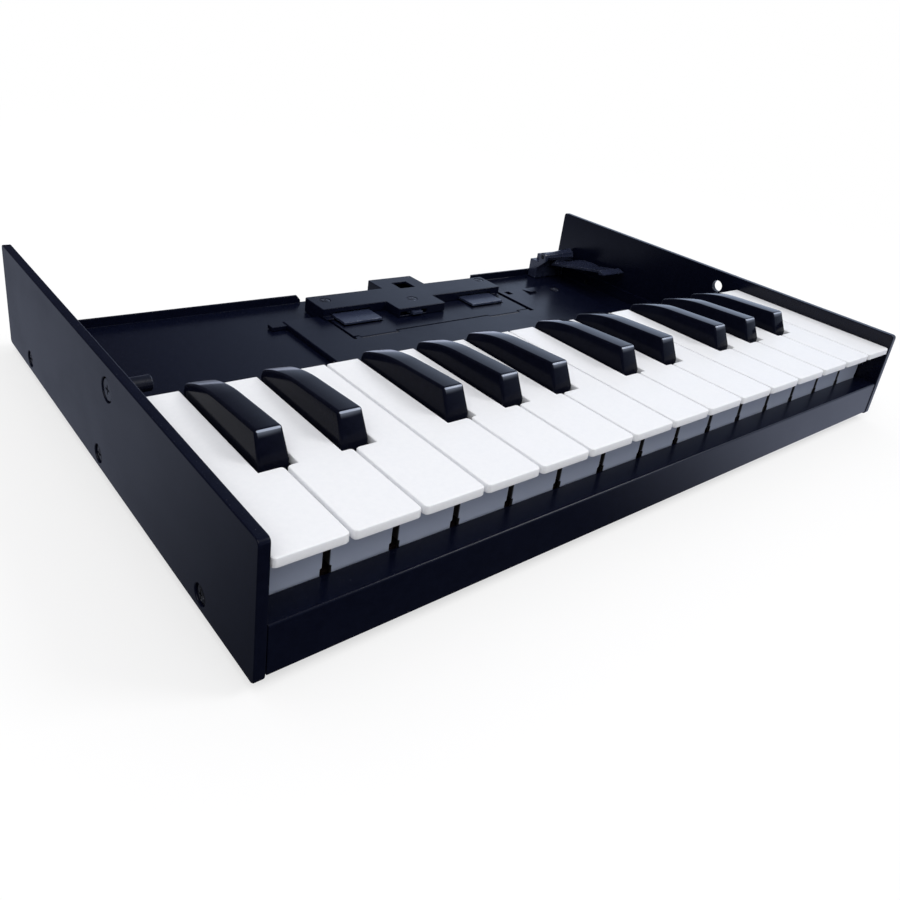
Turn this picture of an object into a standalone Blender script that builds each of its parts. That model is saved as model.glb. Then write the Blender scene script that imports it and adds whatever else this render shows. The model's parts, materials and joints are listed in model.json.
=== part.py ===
"""Mini keyboard unit: 25 small keys in a folded metal case, with an empty bay for a sound module."""

import math

import bmesh
import bpy
from mathutils import Vector

MM = 0.001
X, Y, Z = range(3)
MERGE_DISTANCE = 0.004 * MM
FLAT_ANGLE = math.radians(0.1)

# How many sides the round forms have
HOLE_SIDES = 8
PIN_SIDES = 10
SCREW_SIDES = 10
ROD_SIDES = 12
SEAT_SIDES = 16
BARREL_SIDES = 18
FOOT_SIDES = 20
PIVOT_SIDES = 24
DOME_SIDES = 5
CORNER_STEPS = 4
SMALL_CORNER_STEPS = 2

# Driving dimensions. X runs along the keys, Y from the panels' front edges to the rear,
# Z up from the panels' bottom edges. All lengths are in metres.

# Case
WIDTH = 309 * MM
DEPTH = 208 * MM
PANEL_HEIGHT = 39.6 * MM
PANEL_THICKNESS = 3 * MM
PANEL_CORNER = 1.5 * MM
INNER = WIDTH / 2 - PANEL_THICKNESS
GAP = 0.3 * MM
SHEET = 1.2 * MM
CHASSIS_BOTTOM = 1.2 * MM
SIDE_FLANGE_TOP = 9 * MM
SIDE_FLANGE_START = 16 * MM
SIDE_FLANGE_END_GAP = 4 * MM
REAR_WALL_TOP = 6.3 * MM
REAR_WALL_SETBACK = 0.8 * MM
REAR_WALL_CHAMFER_WIDTH = 2 * MM
REAR_WALL_CHAMFER_HEIGHT = 2.5 * MM
FOLD_RADIUS = 1.4 * MM

# Front panel
FRONT_FACE_SETBACK = 0.3 * MM
FRONT_PANEL_TOP = 15.8 * MM
LEDGE_DEPTH = 9.3 * MM
LEDGE_HEM = 3 * MM
FRONT_FOOT_FLANGE = 7.5 * MM

# Feet
FOOT_DROP = 3 * MM
FOOT_RADIUS = 6 * MM
FOOT_TAPER = 0.8 * MM
FOOT_INSET_X = 14.5 * MM
FOOT_INSET_Y = 14 * MM

# Side screws and the pivot of the sound module
SCREW_INSET = 29 * MM
SCREW_HEIGHT = 4.8 * MM
SCREW_BORE = 1.6 * MM
SCREW_SHANK = 1.3 * MM
SCREW_HEAD = 2.7 * MM
SCREW_RECESS = 3.1 * MM
SCREW_RECESS_DEPTH = 1.4 * MM
SCREW_LENGTH = 3.4 * MM
HEAD_SINK = 0.2 * MM
HEAD_HEIGHT = 0.9 * MM
HEAD_ROUND = 0.25 * MM
CROSS_ARM = 1.5 * MM
CROSS_WIDTH = 0.6 * MM
CROSS_DEPTH = 0.6 * MM
PIVOT_Y = 93 * MM
PIVOT_DROP = 8.1 * MM
PIVOT_Z = PANEL_HEIGHT - PIVOT_DROP
PIVOT_HOLE = 2.9 * MM
PIVOT_RECESS = 3.9 * MM
PIVOT_HEAD = 3.5 * MM
STUD_RADIUS = 2.5 * MM
STUD_LENGTH = 9.5 * MM
STUD_CHAMFER = 0.4 * MM
STUD_FIT = 0.1 * MM

# Keys
WHITE_COUNT = 15
KEY_TOP = 33.7 * MM
LIP_THICKNESS = 2.7 * MM
LIP_FRONT = 0.1 * MM
LIP_DEPTH = 10 * MM
KEY_BACK = 81 * MM
KEY_SPACING = 0.9 * MM
SKIRT_INSET = 0.55 * MM
SKIRT_BOTTOM = 17 * MM
KEY_WALL = 1.2 * MM
KEY_EDGE = 0.35 * MM
LIP_CORNER = 1.2 * MM
SHOULDER_CORNER = 0.8 * MM
CUT_FRONT = 32 * MM
CUT_WIDTH = 10.8 * MM
OUTER_BLACK_SHIFT_OF_TWO = 1.8 * MM
OUTER_BLACK_SHIFT_OF_THREE = 2.7 * MM
BLACK_SHIFTS = (-OUTER_BLACK_SHIFT_OF_TWO, OUTER_BLACK_SHIFT_OF_TWO, None,
                -OUTER_BLACK_SHIFT_OF_THREE, 0.0, OUTER_BLACK_SHIFT_OF_THREE, None)
FRONT_WALL_BOTTOM = 7.6 * MM
FRONT_WALL_STEP = 0.6 * MM
HOOK_WIDTH = 6 * MM
HOOK_REACH = 2.8 * MM
HOOK_THICKNESS = 1.1 * MM
WEB_FRONT = 50.5 * MM
WEB_BACK = 56.5 * MM
WIDE_CELL_BACK = 30 * MM
NARROW_CELL_FRONT = 33.6 * MM
HUB_FRONT = 70.5 * MM
KEY_PIVOT_Y = 76.5 * MM
KEY_PIVOT_Z = 21 * MM
ROD_RADIUS = 1 * MM
ROD_FIT = 0.06 * MM
KEY_TRAVEL = math.radians(3.4)

# Black keys
BLACK_WIDTH = 8.8 * MM
BLACK_FRONT = 34.15 * MM
BLACK_TOP_FRONT = 37.9 * MM
BLACK_TOP_HEIGHT = 42 * MM
BLACK_TOP_WIDTH = 7.5 * MM
BLACK_CROWN_END = 61 * MM
BLACK_CROWN_HEIGHT = 40.6 * MM
BLACK_BACK_HEIGHT = 35.7 * MM
BLACK_CHAMFER = 0.55 * MM
BLACK_STATIONS = 6

# Keybed inside the case
BED_SIDE_GAP = 1.8 * MM
BED_FLOOR = 1.5 * MM
BED_WALL = 1.5 * MM
BED_FRONT_WALL_Y = 17 * MM
RAIL_FRONT = 12.4 * MM
RAIL_BACK = 22 * MM
RAIL_TOP = 11.4 * MM
BLACK_RAIL_FRONT = 36 * MM
BLACK_RAIL_BACK = 42 * MM
BLACK_RAIL_TOP = 13.1 * MM
BOARD_RIB_FRONT = 46.5 * MM
BOARD_RIB_BACK = 59 * MM
BOARD_HEIGHT = 10.5 * MM
BOARD_THICKNESS = 1.6 * MM
SPRING_RIB_FRONT = 65.2 * MM
SPRING_RIB_TOP = 12 * MM
BED_REAR_GAP = 0.6 * MM
BED_REAR_TOP = 31.5 * MM
BEARING_TOP = 24.5 * MM
BEARING_FRONT = 73 * MM
BEARING_THICKNESS = 1.2 * MM
POST_WIDTH = 6 * MM
POST_DEPTH = 2.4 * MM
POST_TOP = 26.8 * MM
BLACK_POST_Y = 43 * MM
BLACK_POST_WIDTH = 4 * MM
FELT_MARGIN = 0.6 * MM
FRONT_FELT_DEPTH = 5 * MM
FRONT_FELT_THICKNESS = 1.3 * MM
UP_FELT_DEPTH = 3 * MM
UP_FELT_THICKNESS = 0.6 * MM
BLACK_FELT_THICKNESS = 0.9 * MM
RUBBER_BASE = 0.8 * MM
RUBBER_HALF_DEPTH = 3.5 * MM
DOME_RADIUS = 2.4 * MM
DOME_TAPER = 0.7 * MM
SPRING_THICKNESS = 0.4 * MM
SPRING_BASE_FRONT = 64 * MM
SPRING_BASE_BACK = 68.5 * MM
SPRING_TIP_Y = 73.7 * MM
SPRING_FINGER = 3 * MM

# Platform in the bay and the opening for the tilt stand. The bay's pieces are set out from
# the panels' rear edges, and those at its right end from the right panel.
PLATFORM_LEFT = -52 * MM
PLATFORM_RIGHT_INSET = 23.5 * MM
PLATFORM_RIGHT = INNER - PLATFORM_RIGHT_INSET
PLATFORM_FRONT_INSET = 96 * MM
PLATFORM_FRONT = DEPTH - PLATFORM_FRONT_INSET
PLATFORM_BACK_INSET = 26.5 * MM
PLATFORM_BACK = DEPTH - PLATFORM_BACK_INSET
PLATFORM_TOP = 5 * MM
LUG_WIDTH = 7.2 * MM
LUG_FRONT_INSET = 31 * MM
LUG_FRONT = DEPTH - LUG_FRONT_INSET
LUG_TOP = 4.5 * MM
STAND_LEFT = -31 * MM
STAND_RIGHT = 76.4 * MM
STAND_LEFT_SLOT = 1.5 * MM
STAND_RIGHT_SLOT = 2.8 * MM
REAR_OPENING_LEFT_LAP = 1.5 * MM
REAR_OPENING_RIGHT_GAP = 3.6 * MM
HINGE_INSET = 54.2 * MM
HINGE_Y = DEPTH - HINGE_INSET
HINGE_Z = 3.95 * MM
KNUCKLE_RADIUS = 1.2 * MM
PIN_RADIUS = 0.55 * MM
PIN_FIT = 0.08 * MM
STAND_KNUCKLE = 20 * MM
SMALL_SLOT_OFFSET = 7.5 * MM
SMALL_SLOT_X = STAND_RIGHT + SMALL_SLOT_OFFSET
SMALL_SLOT_FRONT_INSET = 32.2 * MM
SMALL_SLOT_FRONT = DEPTH - SMALL_SLOT_FRONT_INSET
SMALL_SLOT_LENGTH = 4.2 * MM
SMALL_SLOT_WIDTH = 3.4 * MM
LANCE_OFFSET = 22.3 * MM
LANCE_X = STAND_RIGHT + LANCE_OFFSET
LANCE_FRONT_INSET = 34.6 * MM
LANCE_FRONT = DEPTH - LANCE_FRONT_INSET
LANCE_LENGTH = 6.2 * MM
LANCE_WIDTH = 4.5 * MM
LANCE_RISE = 1.1 * MM
LANCE_SLOT = 0.5 * MM

# Cross-shaped bracket of the tilt stand
BRACKET_TOP = 9.6 * MM
BAR_OVERHANG = 2.6 * MM
BAR_LEFT = STAND_LEFT - BAR_OVERHANG
BAR_RIGHT = STAND_RIGHT
BAR_FRONT_INSET = 30 * MM
BAR_FRONT = DEPTH - BAR_FRONT_INSET
BAR_BACK_INSET = 13.2 * MM
BAR_BACK = DEPTH - BAR_BACK_INSET
BLOCK_LEFT = 1.4 * MM
BLOCK_RIGHT = 30 * MM
BLOCK_FRONT_INSET = 41 * MM
BLOCK_FRONT = DEPTH - BLOCK_FRONT_INSET
TAIL_LEFT = 10 * MM
TAIL_RIGHT = 37 * MM
TAIL_BACK_INSET = 0.4 * MM
TAIL_BACK = DEPTH - TAIL_BACK_INSET
GRIP_LEFT = 19.8 * MM
GRIP_RIGHT = 28.8 * MM
GRIP_FRONT_INSET = 16.2 * MM
GRIP_FRONT = DEPTH - GRIP_FRONT_INSET
GRIP_BACK_INSET = 7.6 * MM
GRIP_BACK = DEPTH - GRIP_BACK_INSET
BRACKET_CORNER = 0.8 * MM
TAB_WIDTH = 4 * MM
TAB_REACH = 3.4 * MM
TAB_THICKNESS = 0.6 * MM
LEFT_TAB_INSET = 0.3 * MM
RIGHT_TAB_INSET = 2.5 * MM
LEG_WINDOW_HEIGHT = 7.4 * MM
LATCH_SLOT_LEFT = 2.6 * MM
LATCH_SLOT_RIGHT = 18.4 * MM
LATCH_SLOT_BOTTOM = 5.9 * MM
LATCH_SLOT_TOP = 7.9 * MM
LATCH_LEFT = 9.1 * MM
LATCH_WIDTH = 5.6 * MM
LATCH_REACH = 1.6 * MM
LATCH_DEPTH = 5 * MM
BRACKET_SCREW_XS = (-26.4 * MM, 16.6 * MM, 71.6 * MM)
BRACKET_SCREW_INSETS = (19.2 * MM, 30.6 * MM, 17.4 * MM)
BRACKET_SCREWS = [(x, DEPTH - inset) for x, inset in zip(BRACKET_SCREW_XS, BRACKET_SCREW_INSETS)]
BOSS_RADIUS = 2.2 * MM
BRACKET_RECESS = 2.8 * MM
BRACKET_RECESS_DEPTH = 0.5 * MM
BRACKET_BORE = 0.8 * MM

# Prop legs of the tilt stand
LEG_LEFTS = (-28.4 * MM, 48.6 * MM)
LEG_WIDTH = 20.4 * MM
LEG_FRONT_INSET = 41 * MM
LEG_FRONT = DEPTH - LEG_FRONT_INSET
LEG_PIVOT_INSET = 21 * MM
LEG_PIVOT_Y = DEPTH - LEG_PIVOT_INSET
LEG_PIVOT_Z = 6.5 * MM
LEG_BARREL = 1.15 * MM
LEG_CURL_STEPS = 8
LEG_CLEARANCE = 0.6 * MM
EAR_THICKNESS = 1 * MM
EAR_RADIUS = 1.2 * MM
LEG_NOTCH = 5.2 * MM
LEG_NOTCH_DEPTH = 3.2 * MM

# Connector arm at the right rear
ARM_PIVOT_INSET = 12 * MM
ARM_PIVOT_Y = DEPTH - ARM_PIVOT_INSET
ARM_PIVOT_Z = 16.8 * MM
ARM_BARREL_LEFT_INSET = 23.5 * MM
ARM_BARREL_LEFT = INNER - ARM_BARREL_LEFT_INSET
ARM_BARREL_RIGHT_INSET = 2.9 * MM
ARM_BARREL_RIGHT = INNER - ARM_BARREL_RIGHT_INSET
ARM_BARREL_SMALL = 2 * MM
ARM_BARREL_LARGE = 3.9 * MM
ARM_GROOVES = (6, 8, 10)
ARM_GROOVE_SHARE = 0.86
ARM_LEFT_INSET = 16.5 * MM
ARM_LEFT = INNER - ARM_LEFT_INSET
ARM_PLATE = 1.4 * MM
ARM_LENGTH = 37.5 * MM
ARM_DROP = 4.3 * MM
ARM_RISE = math.radians(11.5)
ARM_WEB = 1.8 * MM
ARM_CROWN = 2.2 * MM
ARM_CROWN_LENGTH = 26 * MM
ARM_CROWN_STEPS = 6
ARM_PIN = 1 * MM
ARM_EAR = 2 * MM
ARM_EAR_REACH = 2.6 * MM
ARM_EAR_CORNER = 2.3 * MM
CLAMP_LEFT_INSET = 24.5 * MM
CLAMP_LEFT = INNER - CLAMP_LEFT_INSET
CLAMP_STEP_INSET = 20.5 * MM
CLAMP_STEP = INNER - CLAMP_STEP_INSET
CLAMP_FRONT_INSET = 8.4 * MM
CLAMP_FRONT = DEPTH - CLAMP_FRONT_INSET
CLAMP_TOP = 13.2 * MM
CLAMP_BACK_TOP = 16 * MM
CLAMP_FOOT = 6 * MM
PLUG_LEFT_INSET = 18.5 * MM
PLUG_LEFT = INNER - PLUG_LEFT_INSET
PLUG_RIGHT_INSET = 1.1 * MM
PLUG_RIGHT = INNER - PLUG_RIGHT_INSET
PLUG_LENGTH = 4.2 * MM
PLUG_HEIGHT = 2.4 * MM
PLUG_SLOPE = 3.2 * MM
PLUG_LIP = 0.7 * MM

# Screws under the case and on the bay floor
BED_SCREW_INSET = 19.5 * MM
BED_SCREW_MIDDLE = 46 * MM
BED_SCREW_XS = (BED_SCREW_INSET - INNER, -BED_SCREW_MIDDLE, BED_SCREW_MIDDLE, INNER - BED_SCREW_INSET)
BED_SCREW_YS = (30 * MM, 72 * MM)
FRONT_SCREW_Y = 6 * MM
PLATFORM_SCREW_LEFT_INSET = 7 * MM
PLATFORM_SCREW_RIGHT_INSET = 11.5 * MM
PLATFORM_SCREW_FRONT_INSET = 8 * MM
PLATFORM_SCREW_BACK_INSET = 7.8 * MM
PLATFORM_SCREWS = (
    (PLATFORM_RIGHT - PLATFORM_SCREW_RIGHT_INSET, PLATFORM_BACK - PLATFORM_SCREW_BACK_INSET),
    (PLATFORM_RIGHT - PLATFORM_SCREW_RIGHT_INSET, PLATFORM_FRONT + PLATFORM_SCREW_FRONT_INSET),
    (PLATFORM_LEFT + PLATFORM_SCREW_LEFT_INSET, PLATFORM_FRONT + PLATFORM_SCREW_FRONT_INSET))

# Places that follow from the sizes above
PITCH = 2 * INNER / WHITE_COUNT
FLOOR_TOP = CHASSIS_BOTTOM + SHEET
CASE_HALF = INNER - GAP
BED_BOTTOM = FLOOR_TOP + GAP
BED_TOP = BED_BOTTOM + BED_FLOOR
BED_REAR_Y = KEY_BACK + BED_REAR_GAP
HINGE_BORE = PIN_RADIUS + PIN_FIT


def clear_scene():
    for obj in list(bpy.data.objects):
        bpy.data.objects.remove(obj, do_unlink=True)


def make_material(name, color, roughness, metallic):
    material = bpy.data.materials.new(name)
    material.use_nodes = True
    shader = material.node_tree.nodes["Principled BSDF"]
    shader.inputs["Base Color"].default_value = (*color, 1)
    shader.inputs["Roughness"].default_value = roughness
    shader.inputs["Metallic"].default_value = metallic
    return material


def to_part_frame(point):
    """Turn bench coordinates into the part's frame: centred in X and Y, standing on Z = 0."""
    return Vector((point[X], point[Y] - DEPTH / 2, point[Z] + FOOT_DROP))


def add_object(name, shape, material, pivot=(0, 0, 0), smooth_angle=30):
    """Make a named object from a bmesh in bench coordinates, with its origin at the pivot."""
    bmesh.ops.recalc_face_normals(shape, faces=shape.faces)
    bmesh.ops.translate(shape, vec=-Vector(pivot), verts=shape.verts)
    mesh = bpy.data.meshes.new(name)
    shape.to_mesh(mesh)
    shape.free()
    mesh.materials.append(material)
    mesh.shade_smooth()
    mesh.set_sharp_from_angle(angle=math.radians(smooth_angle))
    obj = bpy.data.objects.new(name, mesh)
    bpy.context.scene.collection.objects.link(obj)
    obj.location = to_part_frame(pivot)
    return obj


def loft(shape, loops):
    """Add a closed body whose skin runs through loops of equally many points."""
    rings = [[shape.verts.new(point) for point in loop] for loop in loops]
    for lower, upper in zip(rings, rings[1:]):
        for i in range(len(lower)):
            j = (i + 1) % len(lower)
            shape.faces.new((lower[i], lower[j], upper[j], upper[i]))
    shape.faces.new(list(reversed(rings[0])))
    shape.faces.new(rings[-1])


def prism(shape, outline, axis, low, high):
    """Add an outline's prism. The outline holds the two other coordinates in X, Y, Z order."""
    def point(pair, along):
        coordinates = list(pair)
        coordinates.insert(axis, along)
        return coordinates
    loft(shape, [[point(pair, along) for pair in outline] for along in (low, high)])


def box(shape, low, high):
    outline = [(low[X], low[Y]), (high[X], low[Y]), (high[X], high[Y]), (low[X], high[Y])]
    prism(shape, outline, Z, low[Z], high[Z])


def circle(center, radius, segments, turn=0.0):
    steps = [turn + 2 * math.pi * i / segments for i in range(segments)]
    return [(center[0] + radius * math.cos(a), center[1] + radius * math.sin(a)) for a in steps]


def turned(shape, axis, center, stations, segments, turn=0.0):
    """Add a body of revolution through (place along the axis, radius) stations."""
    loops = []
    for along, radius in stations:
        loop = []
        for pair in circle(center, radius, segments, turn):
            coordinates = list(pair)
            coordinates.insert(axis, along)
            loop.append(coordinates)
        loops.append(loop)
    loft(shape, loops)


def rounded(corners, segments=CORNER_STEPS):
    """An outline from (u, v, radius) corners of a right-angled or slanted polygon."""
    outline = []
    count = len(corners)
    for i, (u, v, radius) in enumerate(corners):
        here = Vector((u, v))
        if radius <= 0:
            outline.append((u, v))
            continue
        before = (Vector(corners[i - 1][:2]) - here).normalized()
        after = (Vector(corners[(i + 1) % count][:2]) - here).normalized()
        half = before.angle(after) / 2
        center = here + (before + after).normalized() * (radius / math.sin(half))
        start = here + before * (radius / math.tan(half)) - center
        end = here + after * (radius / math.tan(half)) - center
        sweep = math.atan2(start.x * end.y - start.y * end.x, start.dot(end))
        for step in range(segments + 1):
            angle = sweep * step / segments
            c, s = math.cos(angle), math.sin(angle)
            outline.append((center.x + start.x * c - start.y * s, center.y + start.x * s + start.y * c))
    return outline


def combine(base, tool, operation):
    """Cut the tool from the base, or join the two, and return the result."""
    operands = []
    for shape in (base, tool):
        bmesh.ops.recalc_face_normals(shape, faces=shape.faces)
        mesh = bpy.data.meshes.new("operand")
        shape.to_mesh(mesh)
        shape.free()
        operand = bpy.data.objects.new("operand", mesh)
        bpy.context.scene.collection.objects.link(operand)
        operands.append(operand)
    modifier = operands[0].modifiers.new("combine", "BOOLEAN")
    modifier.operation = operation
    modifier.solver = "EXACT"
    modifier.use_self = True
    modifier.object = operands[1]
    evaluated = operands[0].evaluated_get(bpy.context.evaluated_depsgraph_get())
    result = bmesh.new()
    result.from_mesh(evaluated.to_mesh())
    evaluated.to_mesh_clear()
    for operand in operands:
        mesh = operand.data
        bpy.data.objects.remove(operand, do_unlink=True)
        bpy.data.meshes.remove(mesh)
    bmesh.ops.remove_doubles(result, verts=result.verts, dist=MERGE_DISTANCE)
    bmesh.ops.dissolve_limit(result, angle_limit=FLAT_ANGLE, verts=result.verts, edges=result.edges)
    return result


def cut(base, tool):
    return combine(base, tool, "DIFFERENCE")


def join(base, tool):
    return combine(base, tool, "UNION")


def side_screw_places():
    return [(y, SCREW_HEIGHT) for y in (SCREW_INSET, DEPTH / 2, DEPTH - SCREW_INSET)]


def make_side_panel(name, side, material):
    """A flat panel with rounded corners, sunk screw seats and the module's pivot hole."""
    outer = side * WIDTH / 2
    inner = side * INNER
    seat = outer - side * SCREW_RECESS_DEPTH
    corners = [(0, 0), (DEPTH, 0), (DEPTH, PANEL_HEIGHT), (0, PANEL_HEIGHT)]
    outline = rounded([(*corner, PANEL_CORNER) for corner in corners])
    panel = bmesh.new()
    prism(panel, outline, X, min(outer, inner), max(outer, inner))
    holes = bmesh.new()
    beyond = side * PANEL_THICKNESS
    for place in side_screw_places():
        turned(holes, X, place, [(outer + beyond, SCREW_RECESS), (seat, SCREW_RECESS),
                                 (seat, SCREW_BORE), (inner - beyond, SCREW_BORE)], SEAT_SIDES)
    pivot = (PIVOT_Y, PIVOT_Z)
    if side < 0:
        bore = STUD_RADIUS + STUD_FIT
        turned(holes, X, pivot, [(outer + beyond, PIVOT_RECESS), (seat, PIVOT_RECESS),
                                 (seat, bore), (inner - beyond, bore)], FOOT_SIDES)
    else:
        turned(holes, X, pivot, [(outer + beyond, PIVOT_HOLE), (inner - beyond, PIVOT_HOLE)], PIVOT_SIDES)
    return add_object(name, cut(panel, holes), material)


def add_cross(shape, axis, center, top, outward):
    """The four-armed recess of a screw head, as one cross-shaped prism."""
    arm, half = CROSS_ARM, CROSS_WIDTH / 2
    corners = [(-half, -arm), (half, -arm), (half, -half), (arm, -half), (arm, half), (half, half),
               (half, arm), (-half, arm), (-half, half), (-arm, half), (-arm, -half), (-half, -half)]
    outline = [(center[0] + u, center[1] + v) for u, v in corners]
    low, high = sorted((top - outward * CROSS_DEPTH, top + outward * CROSS_DEPTH))
    prism(shape, outline, axis, low, high)


def make_side_screw(name, side, place, material):
    """A cross-head screw through a side panel's sunk seat into the chassis flange."""
    seat = side * (WIDTH / 2 - SCREW_RECESS_DEPTH + HEAD_SINK)
    top = seat + side * HEAD_HEIGHT
    screw = bmesh.new()
    turned(screw, X, place, [(top, SCREW_HEAD - HEAD_ROUND), (top - side * HEAD_ROUND, SCREW_HEAD),
                             (seat, SCREW_HEAD), (seat, SCREW_SHANK),
                             (seat - side * SCREW_LENGTH, SCREW_SHANK)], SCREW_SIDES)
    cross = bmesh.new()
    add_cross(cross, X, place, top, side)
    return add_object(name, cut(screw, cross), material)


def make_pivot_bolt(material):
    """The shoulder bolt through the left panel that one end of the sound module turns on."""
    seat = -(WIDTH / 2 - SCREW_RECESS_DEPTH + HEAD_SINK)
    top = seat - HEAD_HEIGHT
    end = -INNER + STUD_LENGTH
    center = (PIVOT_Y, PIVOT_Z)
    bolt = bmesh.new()
    turned(bolt, X, center, [(top, PIVOT_HEAD - HEAD_ROUND), (top + HEAD_ROUND, PIVOT_HEAD),
                             (seat, PIVOT_HEAD), (seat, STUD_RADIUS), (end - STUD_CHAMFER, STUD_RADIUS),
                             (end, STUD_RADIUS - STUD_CHAMFER)], FOOT_SIDES)
    cross = bmesh.new()
    add_cross(cross, X, center, top, -1)
    return add_object("module_pivot_bolt", cut(bolt, cross), material)


def make_chassis(material):
    """The bottom sheet: floor, turned-up side flanges and the low rear wall with its opening."""
    low, high, top = CHASSIS_BOTTOM, FLOOR_TOP, SIDE_FLANGE_TOP
    inside = CASE_HALF - SHEET
    profile = rounded([(-CASE_HALF, low, FOLD_RADIUS), (CASE_HALF, low, FOLD_RADIUS), (CASE_HALF, top, 0),
                       (inside, top, 0), (inside, high, 0), (-inside, high, 0), (-inside, top, 0),
                       (-CASE_HALF, top, 0)])
    rear = DEPTH - REAR_WALL_SETBACK
    front = FRONT_FACE_SETBACK + SHEET + GAP
    chassis = bmesh.new()
    prism(chassis, profile, Y, front, rear)
    trim = bmesh.new()
    for x_low, x_high in ((-WIDTH, -inside), (inside, WIDTH)):
        box(trim, (x_low, 0, high), (x_high, SIDE_FLANGE_START, PANEL_HEIGHT))
        box(trim, (x_low, rear - SIDE_FLANGE_END_GAP, REAR_WALL_TOP), (x_high, DEPTH, PANEL_HEIGHT))
    chassis = cut(chassis, trim)
    chassis = join(chassis, rear_walls(inside + SHEET / 2, low + SHEET / 2, rear))
    holes = bmesh.new()
    for place in side_screw_places():
        turned(holes, X, place, [(-WIDTH, SCREW_BORE), (-inside + SHEET, SCREW_BORE)], HOLE_SIDES)
        turned(holes, X, place, [(inside - SHEET, SCREW_BORE), (WIDTH, SCREW_BORE)], HOLE_SIDES)
    for x, y in bottom_screw_places():
        turned(holes, Z, (x, y), [(0, SCREW_BORE), (high + SHEET, SCREW_BORE)], HOLE_SIDES)
    return add_object("bottom_chassis", cut(chassis, holes), material)


def rear_walls(half, low, rear):
    """The two stretches of the low rear wall, left and right of the tilt stand's tail."""
    end = STAND_LEFT + REAR_OPENING_LEFT_LAP
    outline = [(-half, low), (end, low), (end, REAR_WALL_TOP - REAR_WALL_CHAMFER_HEIGHT),
               (end - REAR_WALL_CHAMFER_WIDTH, REAR_WALL_TOP), (-half, REAR_WALL_TOP)]
    walls = bmesh.new()
    prism(walls, outline, Y, rear - SHEET, rear)
    box(walls, (STAND_RIGHT + REAR_OPENING_RIGHT_GAP, rear - SHEET, low), (half, rear, REAR_WALL_TOP))
    return walls


def bottom_screw_places():
    keybed = [(x, y) for x in BED_SCREW_XS for y in BED_SCREW_YS]
    front = [(x, FRONT_SCREW_Y) for x in BED_SCREW_XS]
    return keybed + front


def make_front_panel(material):
    """The front sheet: its face, the ledge in front of the keys and the flange it stands on."""
    face = FRONT_FACE_SETBACK
    back = face + SHEET
    ledge = face + LEDGE_DEPTH
    top = FRONT_PANEL_TOP
    foot = FLOOR_TOP + GAP
    profile = rounded([(face, CHASSIS_BOTTOM, 0), (back, CHASSIS_BOTTOM, 0), (back, foot, 0),
                       (back + FRONT_FOOT_FLANGE, foot, 0), (back + FRONT_FOOT_FLANGE, foot + SHEET, 0),
                       (back, foot + SHEET, 0), (back, top - SHEET, 0), (ledge - SHEET, top - SHEET, 0),
                       (ledge - SHEET, top - LEDGE_HEM, 0), (ledge, top - LEDGE_HEM, 0),
                       (ledge, top, FOLD_RADIUS / 2), (face, top, FOLD_RADIUS / 2)])
    panel = bmesh.new()
    prism(panel, profile, X, -CASE_HALF, CASE_HALF)
    holes = bmesh.new()
    for x in BED_SCREW_XS:
        turned(holes, Z, (x, FRONT_SCREW_Y), [(0, SCREW_BORE), (foot + 2 * SHEET, SCREW_BORE)],
               HOLE_SIDES)
    return add_object("front_panel", cut(panel, holes), material)


def make_foot(name, x, y, material):
    """A round rubber foot under the chassis, rounded off where it meets the table."""
    foot = bmesh.new()
    turned(foot, Z, (x, y), [(-FOOT_DROP, FOOT_RADIUS - FOOT_TAPER), (-FOOT_DROP + FOOT_TAPER, FOOT_RADIUS),
                             (CHASSIS_BOTTOM - GAP, FOOT_RADIUS)], FOOT_SIDES)
    return add_object(name, foot, material)


def white_left(index):
    """The left edge of the pitch of white key number index, counted from 0."""
    return -INNER + index * PITCH


def black_keys():
    """The centre of each black key and the number of the white key to its left."""
    keys = []
    for white in range(WHITE_COUNT - 1):
        shift = BLACK_SHIFTS[white % len(BLACK_SHIFTS)]
        if shift is not None:
            keys.append((white_left(white + 1) + shift, white))
    return keys


def white_edges(index):
    """The left and right edges of a white key's wide front and of its narrow back."""
    left = white_left(index) + KEY_SPACING / 2
    right = white_left(index + 1) - KEY_SPACING / 2
    back_left, back_right = left, right
    for center, white in black_keys():
        if white == index:
            back_right = center - CUT_WIDTH / 2
        if white == index - 1:
            back_left = center + CUT_WIDTH / 2
    return left, right, back_left, back_right


def white_outline(index, inset, front, corner):
    """A white key's plan outline, drawn in by the inset, with its front at the given place."""
    left, right, back_left, back_right = white_edges(index)
    shoulder = min(SHOULDER_CORNER, corner)
    shelf = CUT_FRONT - inset
    back = KEY_BACK - inset
    corners = [(left + inset, front, corner), (right - inset, front, corner)]
    if back_right < right:
        corners += [(right - inset, shelf, shoulder), (back_right - inset, shelf, 0)]
    corners += [(back_right - inset, back, 0), (back_left + inset, back, 0)]
    if back_left > left:
        corners += [(back_left + inset, shelf, 0), (left + inset, shelf, shoulder)]
    return rounded(corners, SMALL_CORNER_STEPS)


def key_pivot(x):
    return (x, KEY_PIVOT_Y, KEY_PIVOT_Z)


def pivot_bore(low, high):
    bore = bmesh.new()
    radius = ROD_RADIUS + ROD_FIT
    turned(bore, X, (KEY_PIVOT_Y, KEY_PIVOT_Z), [(low, radius), (high, radius)], ROD_SIDES)
    return bore


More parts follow.
